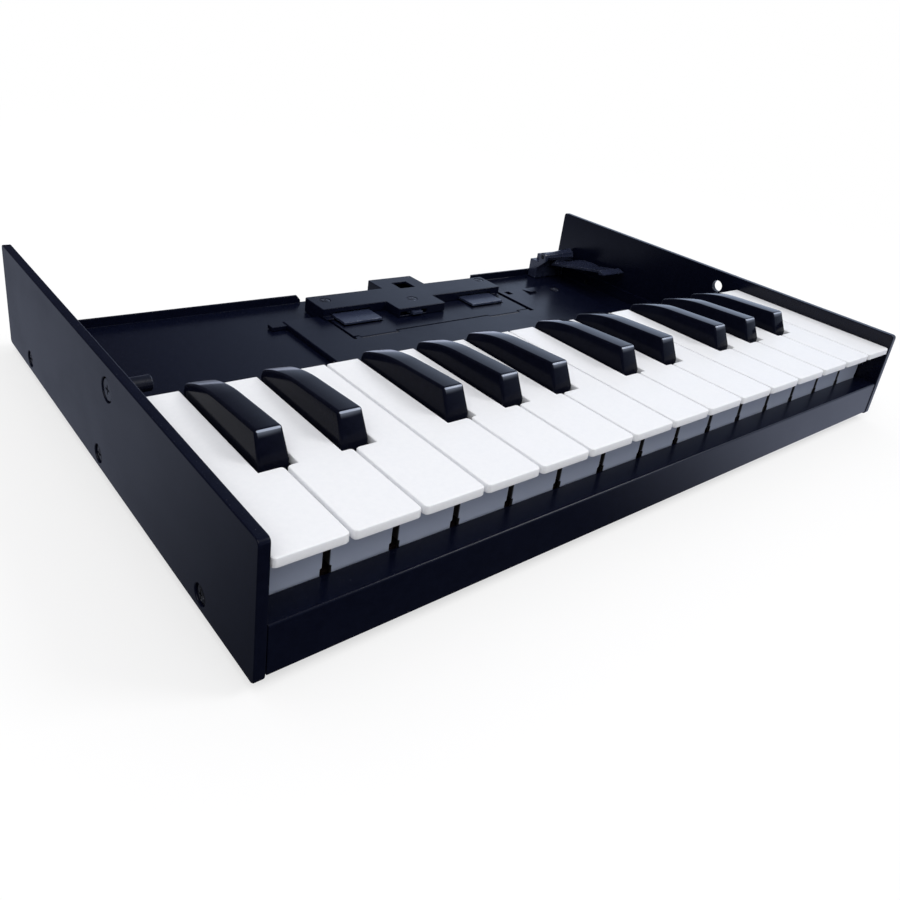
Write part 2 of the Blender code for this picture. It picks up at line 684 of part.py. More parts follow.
def make_white_key(index, material):
    """A moulded white key: overhanging top, skirt, webs, stop hook and pivot bore."""
    left, right, back_left, back_right = white_edges(index)
    wall_front = LIP_FRONT + LIP_DEPTH
    plan = [(white_outline(index, SKIRT_INSET, wall_front, KEY_EDGE), SKIRT_BOTTOM),
            (white_outline(index, SKIRT_INSET, wall_front, KEY_EDGE), KEY_TOP - LIP_THICKNESS),
            (white_outline(index, 0, LIP_FRONT, LIP_CORNER), KEY_TOP - LIP_THICKNESS),
            (white_outline(index, 0, LIP_FRONT, LIP_CORNER), KEY_TOP - KEY_EDGE),
            (white_outline(index, KEY_EDGE, LIP_FRONT + KEY_EDGE, LIP_CORNER - KEY_EDGE), KEY_TOP)]
    key = bmesh.new()
    loft(key, [[(x, y, z) for x, y in outline] for outline, z in plan])
    ceiling = KEY_TOP - LIP_THICKNESS + KEY_EDGE
    inset = SKIRT_INSET + KEY_WALL
    cells = bmesh.new()
    box(cells, (left + inset, wall_front + KEY_WALL, 0), (right - inset, WIDE_CELL_BACK, ceiling))
    box(cells, (back_left + inset, NARROW_CELL_FRONT, 0), (back_right - inset, WEB_FRONT, ceiling))
    box(cells, (back_left + inset, WEB_BACK, 0), (back_right - inset, HUB_FRONT, ceiling))
    key = cut(key, cells)
    key = join(key, front_wall_and_hook(left + SKIRT_INSET, right - SKIRT_INSET, wall_front))
    key = cut(key, pivot_bore(left - PITCH, right + PITCH))
    return add_object(f"white_key_{index + 1:02d}", key, material, key_pivot((left + right) / 2))


def front_wall_and_hook(left, right, front):
    """The front wall's lower part, which ends in the hook that stops the key's rise."""
    center = (left + right) / 2
    foot = bmesh.new()
    box(foot, (left + FRONT_WALL_STEP, front, FRONT_WALL_BOTTOM + HOOK_THICKNESS),
        (right - FRONT_WALL_STEP, front + KEY_WALL, SKIRT_BOTTOM + KEY_WALL))
    hook = bmesh.new()
    box(hook, (center - HOOK_WIDTH / 2, front, FRONT_WALL_BOTTOM),
        (center + HOOK_WIDTH / 2, front + KEY_WALL + HOOK_REACH, FRONT_WALL_BOTTOM + HOOK_THICKNESS))
    return join(foot, hook)


def black_profile():
    """Stations along a black key's top: a straight fall from the front, then a curve to the back."""
    points = [(BLACK_TOP_FRONT, BLACK_TOP_HEIGHT), (BLACK_CROWN_END, BLACK_CROWN_HEIGHT)]
    slope = (BLACK_CROWN_HEIGHT - BLACK_TOP_HEIGHT) / (BLACK_CROWN_END - BLACK_TOP_FRONT)
    run = KEY_BACK - BLACK_CROWN_END
    drop = BLACK_BACK_HEIGHT - BLACK_CROWN_HEIGHT - slope * run
    for step in range(1, BLACK_STATIONS + 1):
        part = step / BLACK_STATIONS
        height = BLACK_CROWN_HEIGHT + slope * run * part + drop * part ** 2
        points.append((BLACK_CROWN_END + run * part, height))
    return points


def black_loop(center, half_width, places, heights):
    """A closed loop round a black key through its stations, up the right side and down the left."""
    right = [(center + half_width, y, z) for y, z in zip(places, heights)]
    left = [(center - half_width, y, z) for y, z in zip(places, heights)]
    return right + list(reversed(left))


def make_black_key(number, center, material):
    """A moulded black key: tapered sides, chamfered top edges, sloping front and curved back."""
    profile = black_profile()
    count = len(profile)
    tops = [y for y, z in profile]
    rims = [z for y, z in profile]
    feet = [BLACK_FRONT] + tops[1:]
    chamfer_ys = [BLACK_TOP_FRONT - BLACK_CHAMFER / 2] + tops[1:]
    edge = BLACK_TOP_WIDTH / 2
    key = bmesh.new()
    loops = [black_loop(center, BLACK_WIDTH / 2, feet, [SKIRT_BOTTOM] * count),
             black_loop(center, BLACK_WIDTH / 2, feet, [KEY_TOP] * count),
             black_loop(center, edge, chamfer_ys, [z - BLACK_CHAMFER for z in rims]),
             black_loop(center, edge - BLACK_CHAMFER, tops, rims)]
    rings = [[key.verts.new(point) for point in loop] for loop in loops]
    for lower, upper in zip(rings, rings[1:]):
        for i in range(2 * count):
            j = (i + 1) % (2 * count)
            key.faces.new((lower[i], lower[j], upper[j], upper[i]))
    for ring in (rings[0], rings[-1]):
        for i in range(count - 1):
            key.faces.new((ring[i], ring[i + 1], ring[2 * count - 2 - i], ring[2 * count - 1 - i]))
    cells = bmesh.new()
    inner = BLACK_WIDTH / 2 - KEY_WALL
    for front, back in ((BLACK_FRONT + 2 * KEY_WALL, WEB_FRONT), (WEB_BACK, HUB_FRONT)):
        box(cells, (center - inner, front, 0), (center + inner, back, KEY_TOP - LIP_THICKNESS))
    key = cut(key, cells)
    key = cut(key, pivot_bore(center - BLACK_WIDTH, center + BLACK_WIDTH))
    return add_object(f"black_key_{number + 1:02d}", key, material, key_pivot(center))


def key_middles():
    """The middle of every key's narrow back, white and black."""
    whites = [sum(white_edges(i)[2:]) / 2 for i in range(WHITE_COUNT)]
    return sorted(whites + [center for center, white in black_keys()])


def make_keybed(material):
    """The moulded bed that carries the keys: rails, ribs, guide posts, bearings and rear wall."""
    low, top, wall = BED_BOTTOM, BED_TOP, BED_WALL
    rear = BED_REAR_Y
    half = INNER - BED_SIDE_GAP
    stem = (BLACK_RAIL_FRONT + BLACK_RAIL_BACK - wall) / 2
    board_top = BOARD_HEIGHT - GAP
    profile = [(BED_FRONT_WALL_Y, low), (rear + wall, low), (rear + wall, BED_REAR_TOP),
               (rear, BED_REAR_TOP), (rear, top), (SPRING_RIB_FRONT + wall, top),
               (SPRING_RIB_FRONT + wall, SPRING_RIB_TOP), (SPRING_RIB_FRONT, SPRING_RIB_TOP),
               (SPRING_RIB_FRONT, top)]
    for rib in (BOARD_RIB_BACK, BOARD_RIB_FRONT):
        profile += [(rib + wall, top), (rib + wall, board_top), (rib, board_top), (rib, top)]
    profile += [(stem + wall, top), (stem + wall, BLACK_RAIL_TOP - wall),
                (BLACK_RAIL_BACK, BLACK_RAIL_TOP - wall), (BLACK_RAIL_BACK, BLACK_RAIL_TOP),
                (BLACK_RAIL_FRONT, BLACK_RAIL_TOP), (BLACK_RAIL_FRONT, BLACK_RAIL_TOP - wall),
                (stem, BLACK_RAIL_TOP - wall), (stem, top)]
    profile += [(BED_FRONT_WALL_Y + wall, top), (BED_FRONT_WALL_Y + wall, RAIL_TOP - wall),
                (RAIL_BACK, RAIL_TOP - wall), (RAIL_BACK, RAIL_TOP), (RAIL_FRONT, RAIL_TOP),
                (RAIL_FRONT, RAIL_TOP - wall), (BED_FRONT_WALL_Y, RAIL_TOP - wall)]
    bed = bmesh.new()
    prism(bed, profile, X, -half, half)
    extras = bmesh.new()
    for index in range(WHITE_COUNT):
        center = white_left(index) + PITCH / 2
        box(extras, (center - POST_WIDTH / 2, RAIL_BACK - POST_DEPTH - GAP, RAIL_TOP - wall / 2),
            (center + POST_WIDTH / 2, RAIL_BACK - GAP, POST_TOP))
    for center, white in black_keys():
        box(extras, (center - BLACK_POST_WIDTH / 2, BLACK_POST_Y, top - wall / 2),
            (center + BLACK_POST_WIDTH / 2, BLACK_POST_Y + POST_DEPTH, POST_TOP))
    for x in bearing_places():
        box(extras, (x - BEARING_THICKNESS / 2, BEARING_FRONT, top - wall / 2),
            (x + BEARING_THICKNESS / 2, rear + wall / 2, BEARING_TOP))
    bed = cut(join(bed, extras), pivot_bore(-INNER, INNER))
    holes = bmesh.new()
    for x in BED_SCREW_XS:
        for y in BED_SCREW_YS:
            turned(holes, Z, (x, y), [(0, SCREW_BORE), (top + SHEET, SCREW_BORE)], HOLE_SIDES)
    return add_object("keybed_frame", cut(bed, holes), material)


def bearing_places():
    """The gaps between two white keys with no black key between them."""
    taken = [white for center, white in black_keys()]
    return [white_left(white + 1) for white in range(WHITE_COUNT - 1) if white not in taken]


def make_key_rod(material):
    rod = bmesh.new()
    end = INNER - GAP
    turned(rod, X, (KEY_PIVOT_Y, KEY_PIVOT_Z), [(-end, ROD_RADIUS), (end, ROD_RADIUS)], ROD_SIDES)
    return add_object("key_pivot_rod", rod, material)


def make_felt(name, front, back, low, high, material):
    half = INNER - BED_SIDE_GAP - FELT_MARGIN
    felt = bmesh.new()
    box(felt, (-half, front, low), (half, back, high))
    return add_object(name, felt, material)


def make_contact_board(material):
    half = INNER - BED_SIDE_GAP - FELT_MARGIN
    board = bmesh.new()
    box(board, (-half, BOARD_RIB_FRONT - FELT_MARGIN, BOARD_HEIGHT),
        (half, BOARD_RIB_BACK + BED_WALL + FELT_MARGIN, BOARD_HEIGHT + BOARD_THICKNESS))
    return add_object("contact_board", board, material)


def make_contact_rubber(material):
    """The rubber strip with one dome under every key's web, at its pressed height."""
    half = INNER - BED_SIDE_GAP - 2 * FELT_MARGIN
    middle = (WEB_FRONT + WEB_BACK) / 2
    base = BOARD_HEIGHT + BOARD_THICKNESS + GAP
    dome_top = SKIRT_BOTTOM - math.sin(KEY_TRAVEL) * (KEY_PIVOT_Y - middle + RUBBER_HALF_DEPTH) - GAP
    strip = bmesh.new()
    box(strip, (-half, middle - RUBBER_HALF_DEPTH, base),
        (half, middle + RUBBER_HALF_DEPTH, base + RUBBER_BASE))
    domes = bmesh.new()
    for x in key_middles():
        turned(domes, Z, (x, middle), [(base + RUBBER_BASE / 2, DOME_RADIUS),
                                       (dome_top, DOME_RADIUS - DOME_TAPER)], DOME_SIDES)
    return add_object("contact_rubber", join(strip, domes), material)


def make_spring_comb(material):
    """The flat spring with a bent finger under every key, just ahead of its pivot."""
    low = SPRING_RIB_TOP + GAP
    tip = SKIRT_BOTTOM - GAP
    half = INNER - BED_SIDE_GAP - FELT_MARGIN
    comb = bmesh.new()
    box(comb, (-half, SPRING_BASE_FRONT, low), (half, SPRING_BASE_BACK, low + SPRING_THICKNESS))
    finger = [(SPRING_BASE_BACK - BED_WALL, low), (SPRING_BASE_BACK, low),
              (SPRING_TIP_Y, tip - SPRING_THICKNESS),
              (SPRING_TIP_Y, tip), (SPRING_BASE_BACK - SPRING_THICKNESS, low + SPRING_THICKNESS),
              (SPRING_BASE_BACK - BED_WALL, low + SPRING_THICKNESS)]
    fingers = bmesh.new()
    for x in key_middles():
        prism(fingers, finger, X, x - SPRING_FINGER / 2, x + SPRING_FINGER / 2)
    return add_object("key_spring_comb", join(comb, fingers), material)


def stand_opening():
    """The left, right and front limits of the platform's opening for the tilt stand."""
    return STAND_LEFT - STAND_LEFT_SLOT, STAND_RIGHT + STAND_RIGHT_SLOT, HINGE_Y - KNUCKLE_RADIUS - GAP


def stand_knuckles():
    """The stretches of the hinge pin that the stand's knuckles take."""
    middles = [left + LEG_WIDTH / 2 for left in LEG_LEFTS]
    return [(middle - STAND_KNUCKLE / 2, middle + STAND_KNUCKLE / 2) for middle in middles]


def platform_knuckles():
    """The stretches of the hinge pin between the stand's knuckles, which the platform holds."""
    (first_left, first_right), (last_left, last_right) = stand_knuckles()
    return [(STAND_LEFT, first_left - GAP), (first_right + GAP, last_left - GAP),
            (last_right + GAP, STAND_RIGHT)]


def add_knuckles(plate, stretches, reach_to):
    """Join hinge barrels to a plate by a web that runs to the given place, and bore them."""
    barrels = bmesh.new()
    for low, high in stretches:
        turned(barrels, X, (HINGE_Y, HINGE_Z), [(low, KNUCKLE_RADIUS), (high, KNUCKLE_RADIUS)],
               ROD_SIDES)
    plate = join(plate, barrels)
    webs = bmesh.new()
    near, far = sorted((HINGE_Y, reach_to))
    for low, high in stretches:
        box(webs, (low, near, PLATFORM_TOP - SHEET), (high, far, PLATFORM_TOP))
    plate = join(plate, webs)
    bore = bmesh.new()
    turned(bore, X, (HINGE_Y, HINGE_Z), [(STAND_LEFT - SHEET, HINGE_BORE),
                                         (STAND_RIGHT + SHEET, HINGE_BORE)], PIN_SIDES)
    return cut(plate, bore)


def add_lance(plate):
    """Cut a slot in the platform and stand a tab of its sheet up in it, high at the front."""
    left, right = LANCE_X - LANCE_WIDTH / 2, LANCE_X + LANCE_WIDTH / 2
    front, back, top = LANCE_FRONT, LANCE_FRONT + LANCE_LENGTH, PLATFORM_TOP
    slot = bmesh.new()
    box(slot, (left - LANCE_SLOT, front - LANCE_SLOT, 0), (right + LANCE_SLOT, back, PANEL_HEIGHT))
    side_view = [(front, top + LANCE_RISE - SHEET), (front, top + LANCE_RISE),
                 (back + LANCE_SLOT, top), (back + LANCE_SLOT, top - SHEET)]
    tab = bmesh.new()
    prism(tab, side_view, X, left, right)
    return join(cut(plate, slot), tab)


def make_platform(material):
    """The raised plate in the bay, with folded edges, the stand's opening, slots and a lug."""
    left, right, front, back = PLATFORM_LEFT, PLATFORM_RIGHT, PLATFORM_FRONT, PLATFORM_BACK
    low, top = FLOOR_TOP + GAP, PLATFORM_TOP
    plate = bmesh.new()
    loft(plate, [[(left + r, front + r, z), (right - r, front + r, z), (right - r, back - r, z),
                  (left + r, back - r, z)] for r, z in ((0, low), (0, top - SHEET / 3), (SHEET / 3, top))])
    hollow = bmesh.new()
    box(hollow, (left + SHEET, front + SHEET, 0), (right - SHEET, back - SHEET, top - SHEET))
    open_left, open_right, open_front = stand_opening()
    box(hollow, (open_left, open_front, top - 2 * SHEET), (open_right, DEPTH, PANEL_HEIGHT))
    box(hollow, (open_left, back - 2 * SHEET, 0), (open_right, DEPTH, top))
    plate = cut(plate, hollow)
    lug = bmesh.new()
    box(lug, (left - LUG_WIDTH, LUG_FRONT, low), (left + SHEET / 2, back, LUG_TOP))
    plate = add_lance(join(plate, lug))
    plate = add_knuckles(plate, platform_knuckles(), open_front - SHEET)
    holes = bmesh.new()
    box(holes, (SMALL_SLOT_X - SMALL_SLOT_WIDTH / 2, SMALL_SLOT_FRONT, 0),
        (SMALL_SLOT_X + SMALL_SLOT_WIDTH / 2, SMALL_SLOT_FRONT + SMALL_SLOT_LENGTH, top + SHEET))
    for place in PLATFORM_SCREWS:
        turned(holes, Z, place, [(0, SCREW_BORE), (top + SHEET, SCREW_BORE)], ROD_SIDES)
    return add_object("bay_platform", cut(plate, holes), material)


def leg_barrel(left):
    """The stretch of the leg pin that a leg's rolled end takes, beside its notch."""
    return left + LEG_NOTCH, left + LEG_WIDTH


def ear_places():
    """The left faces of the ears that hold the leg pin, one on each side of each leg."""
    places = []
    for left in LEG_LEFTS:
        low, high = leg_barrel(left)
        places += [low - GAP - EAR_THICKNESS, high + GAP]
    return places


def make_stand_pin(material):
    pin = bmesh.new()
    turned(pin, X, (HINGE_Y, HINGE_Z), [(STAND_LEFT, PIN_RADIUS), (STAND_RIGHT, PIN_RADIUS)], PIN_SIDES)
    return add_object("stand_hinge_pin", pin, material)


def stand_pivot():
    return ((STAND_LEFT + STAND_RIGHT) / 2, HINGE_Y, HINGE_Z)


def make_stand_plate(material):
    """The flat plate that lifts out of the platform's opening, with windows for its legs."""
    front = HINGE_Y + KNUCKLE_RADIUS + GAP
    back = BAR_BACK - SHEET - GAP
    top = PLATFORM_TOP
    plate = bmesh.new()
    box(plate, (STAND_LEFT, front, top - SHEET), (STAND_RIGHT, back, top))
    windows = bmesh.new()
    box(windows, (BAR_RIGHT - SHEET - GAP, PLATFORM_BACK, 0), (WIDTH, DEPTH, PANEL_HEIGHT))
    for left in LEG_LEFTS:
        right = left + LEG_WIDTH + LEG_CLEARANCE
        box(windows, (left - LEG_CLEARANCE, LEG_FRONT - LEG_CLEARANCE, 0),
            (right, LEG_PIVOT_Y - LEG_BARREL, PANEL_HEIGHT))
        box(windows, (left + LEG_NOTCH - LEG_CLEARANCE, LEG_FRONT, 0),
            (right, LEG_PIVOT_Y + LEG_BARREL / 2, PANEL_HEIGHT))
    for place in BRACKET_SCREWS:
        turned(windows, Z, place, [(0, BRACKET_BORE), (PANEL_HEIGHT, BRACKET_BORE)], PIN_SIDES)
    plate = cut(plate, windows)
    plate = add_knuckles(plate, stand_knuckles(), front + SHEET)
    return add_object("stand_plate", plate, material, stand_pivot())


def cross_outline(inset):
    """The bracket's cross: a bar, a block towards the keys and a tail towards the rear."""
    corner = max(BRACKET_CORNER - inset, 0)
    left, right = BAR_LEFT + inset, BAR_RIGHT - inset
    front, back = BAR_FRONT + inset, BAR_BACK - inset
    block_left, block_right, block_front = BLOCK_LEFT + inset, BLOCK_RIGHT - inset, BLOCK_FRONT + inset
    tail_left, tail_right, tail_back = TAIL_LEFT + inset, TAIL_RIGHT - inset, TAIL_BACK - inset
    corners = [(left, front, corner), (block_left, front, 0), (block_left, block_front, corner),
               (block_right, block_front, corner), (block_right, front, 0), (right, front, corner),
               (right, back, corner), (tail_right, back, 0), (tail_right, tail_back, corner),
               (tail_left, tail_back, corner), (tail_left, back, 0), (left, back, corner)]
    return rounded(corners, SMALL_CORNER_STEPS)


def cross_shell():
    """The cross's top and skirt, which reaches down to the case floor behind the platform."""
    low, top = PLATFORM_TOP + GAP, BRACKET_TOP
    bevel = SHEET / 4
    shell = bmesh.new()
    loft(shell, [[(x, y, z) for x, y in cross_outline(inset)]
                 for inset, z in ((0, FLOOR_TOP + GAP), (0, top - bevel), (bevel, top))])
    hollow = bmesh.new()
    prism(hollow, cross_outline(SHEET), Z, 0, top - SHEET)
    shell = cut(shell, hollow)
    trim = bmesh.new()
    box(trim, (-WIDTH, 0, 0), (WIDTH, PLATFORM_BACK + GAP, low))
    return cut(shell, trim)


def bracket_fittings():
    """The screw bosses under the cross and the two tabs in front of its bar."""
    low, top = PLATFORM_TOP + GAP, BRACKET_TOP
    fittings = bmesh.new()
    for place in BRACKET_SCREWS:
        turned(fittings, Z, place, [(low, BOSS_RADIUS), (top - SHEET / 2, BOSS_RADIUS)], PIN_SIDES)
    for left in (BAR_LEFT + LEFT_TAB_INSET, BAR_RIGHT - RIGHT_TAB_INSET - TAB_WIDTH):
        box(fittings, (left, BAR_FRONT - TAB_REACH, low),
            (left + TAB_WIDTH, BAR_FRONT + SHEET / 2, low + TAB_THICKNESS))
    return fittings


def bracket_ears():
    """The ears under the bar that hold the leg pin."""
    ears = bmesh.new()
    for x in ear_places():
        turned(ears, X, (LEG_PIVOT_Y, LEG_PIVOT_Z), [(x, EAR_RADIUS), (x + EAR_THICKNESS, EAR_RADIUS)],
               HOLE_SIDES)
        box(ears, (x, LEG_PIVOT_Y - EAR_RADIUS, LEG_PIVOT_Z),
            (x + EAR_THICKNESS, LEG_PIVOT_Y + EAR_RADIUS, BRACKET_TOP - SHEET / 2))
    return ears


def make_cross_bracket(material):
    """The folded cross that stands on the plate: top, skirt, grip hole, latch slot and leg ears."""
    top = BRACKET_TOP
    bracket = join(join(cross_shell(), bracket_fittings()), bracket_ears())
    openings = bmesh.new()
    box(openings, (GRIP_LEFT, GRIP_FRONT, 0), (GRIP_RIGHT, GRIP_BACK, PANEL_HEIGHT))
    box(openings, (LATCH_SLOT_LEFT, BLOCK_FRONT - SHEET, LATCH_SLOT_BOTTOM),
        (LATCH_SLOT_RIGHT, BLOCK_FRONT + 2 * SHEET, LATCH_SLOT_TOP))
    for left in LEG_LEFTS:
        box(openings, (left - LEG_CLEARANCE, BAR_FRONT - SHEET, 0),
            (left + LEG_WIDTH + LEG_CLEARANCE, BAR_FRONT + 2 * SHEET, LEG_WINDOW_HEIGHT))
    bracket = cut(bracket, openings)
    bores = bmesh.new()
    for place in BRACKET_SCREWS:
        seat = top - BRACKET_RECESS_DEPTH
        turned(bores, Z, place, [(0, BRACKET_BORE), (seat, BRACKET_BORE), (seat, BRACKET_RECESS),
                                 (top + SHEET, BRACKET_RECESS)], PIN_SIDES)
    first, last = ear_places()[0] - PIN_FIT, ear_places()[-1] + EAR_THICKNESS + PIN_FIT
    turned(bores, X, (LEG_PIVOT_Y, LEG_PIVOT_Z), [(first, HINGE_BORE), (last, HINGE_BORE)], HOLE_SIDES)
    return add_object("cross_bracket", cut(bracket, bores), material, stand_pivot())


def make_prop_leg(name, left, material):
    """A flat leg in the stand plate's window, rolled round its pin under the bracket."""
    pivot = (left + LEG_WIDTH / 2, LEG_PIVOT_Y, LEG_PIVOT_Z)
    bottom = LEG_PIVOT_Z - LEG_BARREL
    close = math.pi - math.asin((bottom + SHEET - LEG_PIVOT_Z) / LEG_BARREL)
    side_view = [(LEG_FRONT, bottom)]
    for step in range(LEG_CURL_STEPS + 1):
        angle = -math.pi / 2 + (close + math.pi / 2) * step / LEG_CURL_STEPS
        side_view.append((LEG_PIVOT_Y + LEG_BARREL * math.cos(angle),
                          LEG_PIVOT_Z + LEG_BARREL * math.sin(angle)))
    side_view += [(LEG_FRONT + SHEET / 4, bottom + SHEET), (LEG_FRONT, bottom + SHEET * 3 / 4)]
    leg = bmesh.new()
    prism(leg, side_view, X, left, left + LEG_WIDTH)
    bore = bmesh.new()
    turned(bore, X, (LEG_PIVOT_Y, LEG_PIVOT_Z), [(left - SHEET, HINGE_BORE),
                                                 (left + LEG_WIDTH + SHEET, HINGE_BORE)], HOLE_SIDES)
    leg = cut(leg, bore)
    notch = bmesh.new()
    box(notch, (left - SHEET, LEG_PIVOT_Y - LEG_NOTCH_DEPTH, 0),
        (left + LEG_NOTCH, DEPTH, PANEL_HEIGHT))
    return add_object(name, cut(leg, notch), material, pivot)


def make_leg_pin(material):
    """The rod under the bracket that both legs turn on."""
    pin = bmesh.new()
    turned(pin, X, (LEG_PIVOT_Y, LEG_PIVOT_Z), [(ear_places()[0], PIN_RADIUS),
                                                (ear_places()[-1] + EAR_THICKNESS, PIN_RADIUS)],
           PIN_SIDES)
    return add_object("leg_pin", pin, material, stand_pivot())


def make_latch(material):
    """The small sliding catch in the bracket's front slot, with its thumb tongue."""
    low, high = LATCH_SLOT_BOTTOM + GAP, LATCH_SLOT_TOP - GAP
    right = LATCH_LEFT + LATCH_WIDTH
    catch = [(LATCH_LEFT, BLOCK_FRONT - LATCH_REACH), (right, BLOCK_FRONT - LATCH_REACH),
             (right, BLOCK_FRONT + SHEET + GAP), (right + SHEET, BLOCK_FRONT + SHEET + GAP),
             (right + SHEET, BLOCK_FRONT + LATCH_DEPTH), (LATCH_LEFT - SHEET, BLOCK_FRONT + LATCH_DEPTH),
             (LATCH_LEFT - SHEET, BLOCK_FRONT + SHEET + GAP), (LATCH_LEFT, BLOCK_FRONT + SHEET + GAP)]
    latch = bmesh.new()
    prism(latch, catch, Z, low, high)
    return add_object("stand_latch", latch, material, (LATCH_LEFT, BLOCK_FRONT, low))


def arm_pivot():
    return ((ARM_BARREL_LEFT + ARM_BARREL_RIGHT) / 2, ARM_PIVOT_Y, ARM_PIVOT_Z)


def along_arm(distance, height):
    """A place in the arm's side view: how far along its slope, and how far above its plate."""
    c, s = math.cos(ARM_RISE), math.sin(ARM_RISE)
    lift = height - ARM_DROP
    return ARM_PIVOT_Y - distance * c + lift * s, ARM_PIVOT_Z + distance * s + lift * c


def barrel_loop(x, radius):
    """One end of the arm's barrel: a circle with three grooves along its front."""
    loop = []
    for step, (y, z) in enumerate(circle((0, 0), radius, BARREL_SIDES)):
        share = ARM_GROOVE_SHARE if step in ARM_GROOVES else 1
        loop.append((x, ARM_PIVOT_Y + y * share, ARM_PIVOT_Z + z * share))
    return loop


def arm_loop(x, crown):
    """The outline of the arm's plate at one side, which swells up by the crown near the barrel."""
    side_view = [along_arm(-ARM_PLATE, -ARM_PLATE), along_arm(ARM_LENGTH, -ARM_PLATE),
                 along_arm(ARM_LENGTH, 0)]
    for step in range(ARM_CROWN_STEPS, -1, -1):
        part = step / ARM_CROWN_STEPS
        side_view.append(along_arm(ARM_CROWN_LENGTH * part, crown * math.sin(math.pi * part)))
    side_view.append(along_arm(-ARM_PLATE, 0))
    return [(x, y, z) for y, z in side_view]


def make_connector_arm(material):
    """The arm that carries the module's connector: grooved barrel, web and sloping plate."""
    arm = bmesh.new()
    loft(arm, [barrel_loop(ARM_BARREL_LEFT, ARM_BARREL_SMALL),
               barrel_loop(ARM_BARREL_RIGHT, ARM_BARREL_LARGE)])
    plate = bmesh.new()
    loft(plate, [arm_loop(ARM_LEFT, 0), arm_loop(ARM_BARREL_RIGHT - ARM_PIN, ARM_CROWN)])
    arm = join(arm, plate)
    web = bmesh.new()
    front = ARM_PIVOT_Y - ARM_BARREL_SMALL
    box(web, (ARM_LEFT + ARM_PIN, front, ARM_PIVOT_Z - ARM_DROP - ARM_PLATE / 4),
        (ARM_BARREL_RIGHT - 2 * ARM_PIN, front + ARM_WEB, ARM_PIVOT_Z))
    arm = join(arm, web)
    bore = bmesh.new()
    radius = ARM_PIN + PIN_FIT
    turned(bore, X, (ARM_PIVOT_Y, ARM_PIVOT_Z), [(CLAMP_LEFT, radius), (INNER, radius)], ROD_SIDES)
    return add_object("connector_arm", cut(arm, bore), material, arm_pivot())


def make_connector_plug(material):
    """The plug at the arm's end, whose top slopes down to a thin front lip."""
    start = ARM_LENGTH + GAP
    end = start + PLUG_LENGTH
    side_view = [along_arm(start, -PLUG_HEIGHT), along_arm(end, -PLUG_HEIGHT),
                 along_arm(end, PLUG_LIP - PLUG_HEIGHT), along_arm(end - PLUG_SLOPE, 0),
                 along_arm(start, 0)]
    plug = bmesh.new()
    prism(plug, side_view, X, PLUG_LEFT, PLUG_RIGHT)
    return add_object("connector_plug", plug, material, arm_pivot())


def clamp_ear(low, rear):
    """The side view of an ear: it reaches forward from the clamp's block round the arm's pin."""
    reach = ARM_EAR_REACH
    return rounded([(CLAMP_FRONT, low, 0), (rear, low, 0), (rear, CLAMP_TOP, 0),
                    (ARM_PIVOT_Y + reach, CLAMP_TOP, 0),
                    (ARM_PIVOT_Y + reach, ARM_PIVOT_Z + reach, ARM_EAR_CORNER),
                    (ARM_PIVOT_Y - reach, ARM_PIVOT_Z + reach, ARM_EAR_CORNER),
                    (ARM_PIVOT_Y - reach, ARM_PIVOT_Z - reach, ARM_EAR_CORNER / 2),
                    (CLAMP_FRONT, low + CLAMP_FOOT, 0)], SMALL_CORNER_STEPS)


def make_connector_clamp(material):
    """The clamp at the right rear: a block with a raised back and two ears for the arm's pin."""
    low = FLOOR_TOP + GAP
    rear = DEPTH - REAR_WALL_SETBACK - SHEET - GAP
    flange = CASE_HALF - SHEET - GAP
    clamp = bmesh.new()
    box(clamp, (CLAMP_LEFT, CLAMP_FRONT, low), (flange, rear, CLAMP_TOP))
    back = bmesh.new()
    box(back, (CLAMP_STEP, ARM_PIVOT_Y + ARM_BARREL_LARGE + GAP, CLAMP_TOP - CLAMP_FOOT),
        (flange, rear, CLAMP_BACK_TOP))
    clamp = join(clamp, back)
    ears = bmesh.new()
    left_ear = ARM_BARREL_LEFT - GAP - ARM_EAR
    prism(ears, clamp_ear(low, rear), X, left_ear, left_ear + ARM_EAR)
    prism(ears, clamp_ear(low, rear), X, ARM_BARREL_RIGHT + GAP, flange)
    clamp = join(clamp, ears)
    bore = bmesh.new()
    radius = ARM_PIN + PIN_FIT
    turned(bore, X, (ARM_PIVOT_Y, ARM_PIVOT_Z), [(left_ear - SHEET, radius), (INNER, radius)], ROD_SIDES)
    return add_object("connector_clamp", cut(clamp, bore), material)


def make_arm_pin(material):
    pin = bmesh.new()
    turned(pin, X, (ARM_PIVOT_Y, ARM_PIVOT_Z), [(ARM_BARREL_LEFT - GAP - ARM_EAR, ARM_PIN),
                                                (CASE_HALF - SHEET - GAP, ARM_PIN)], ROD_SIDES)
    return add_object("connector_arm_pin", pin, material)


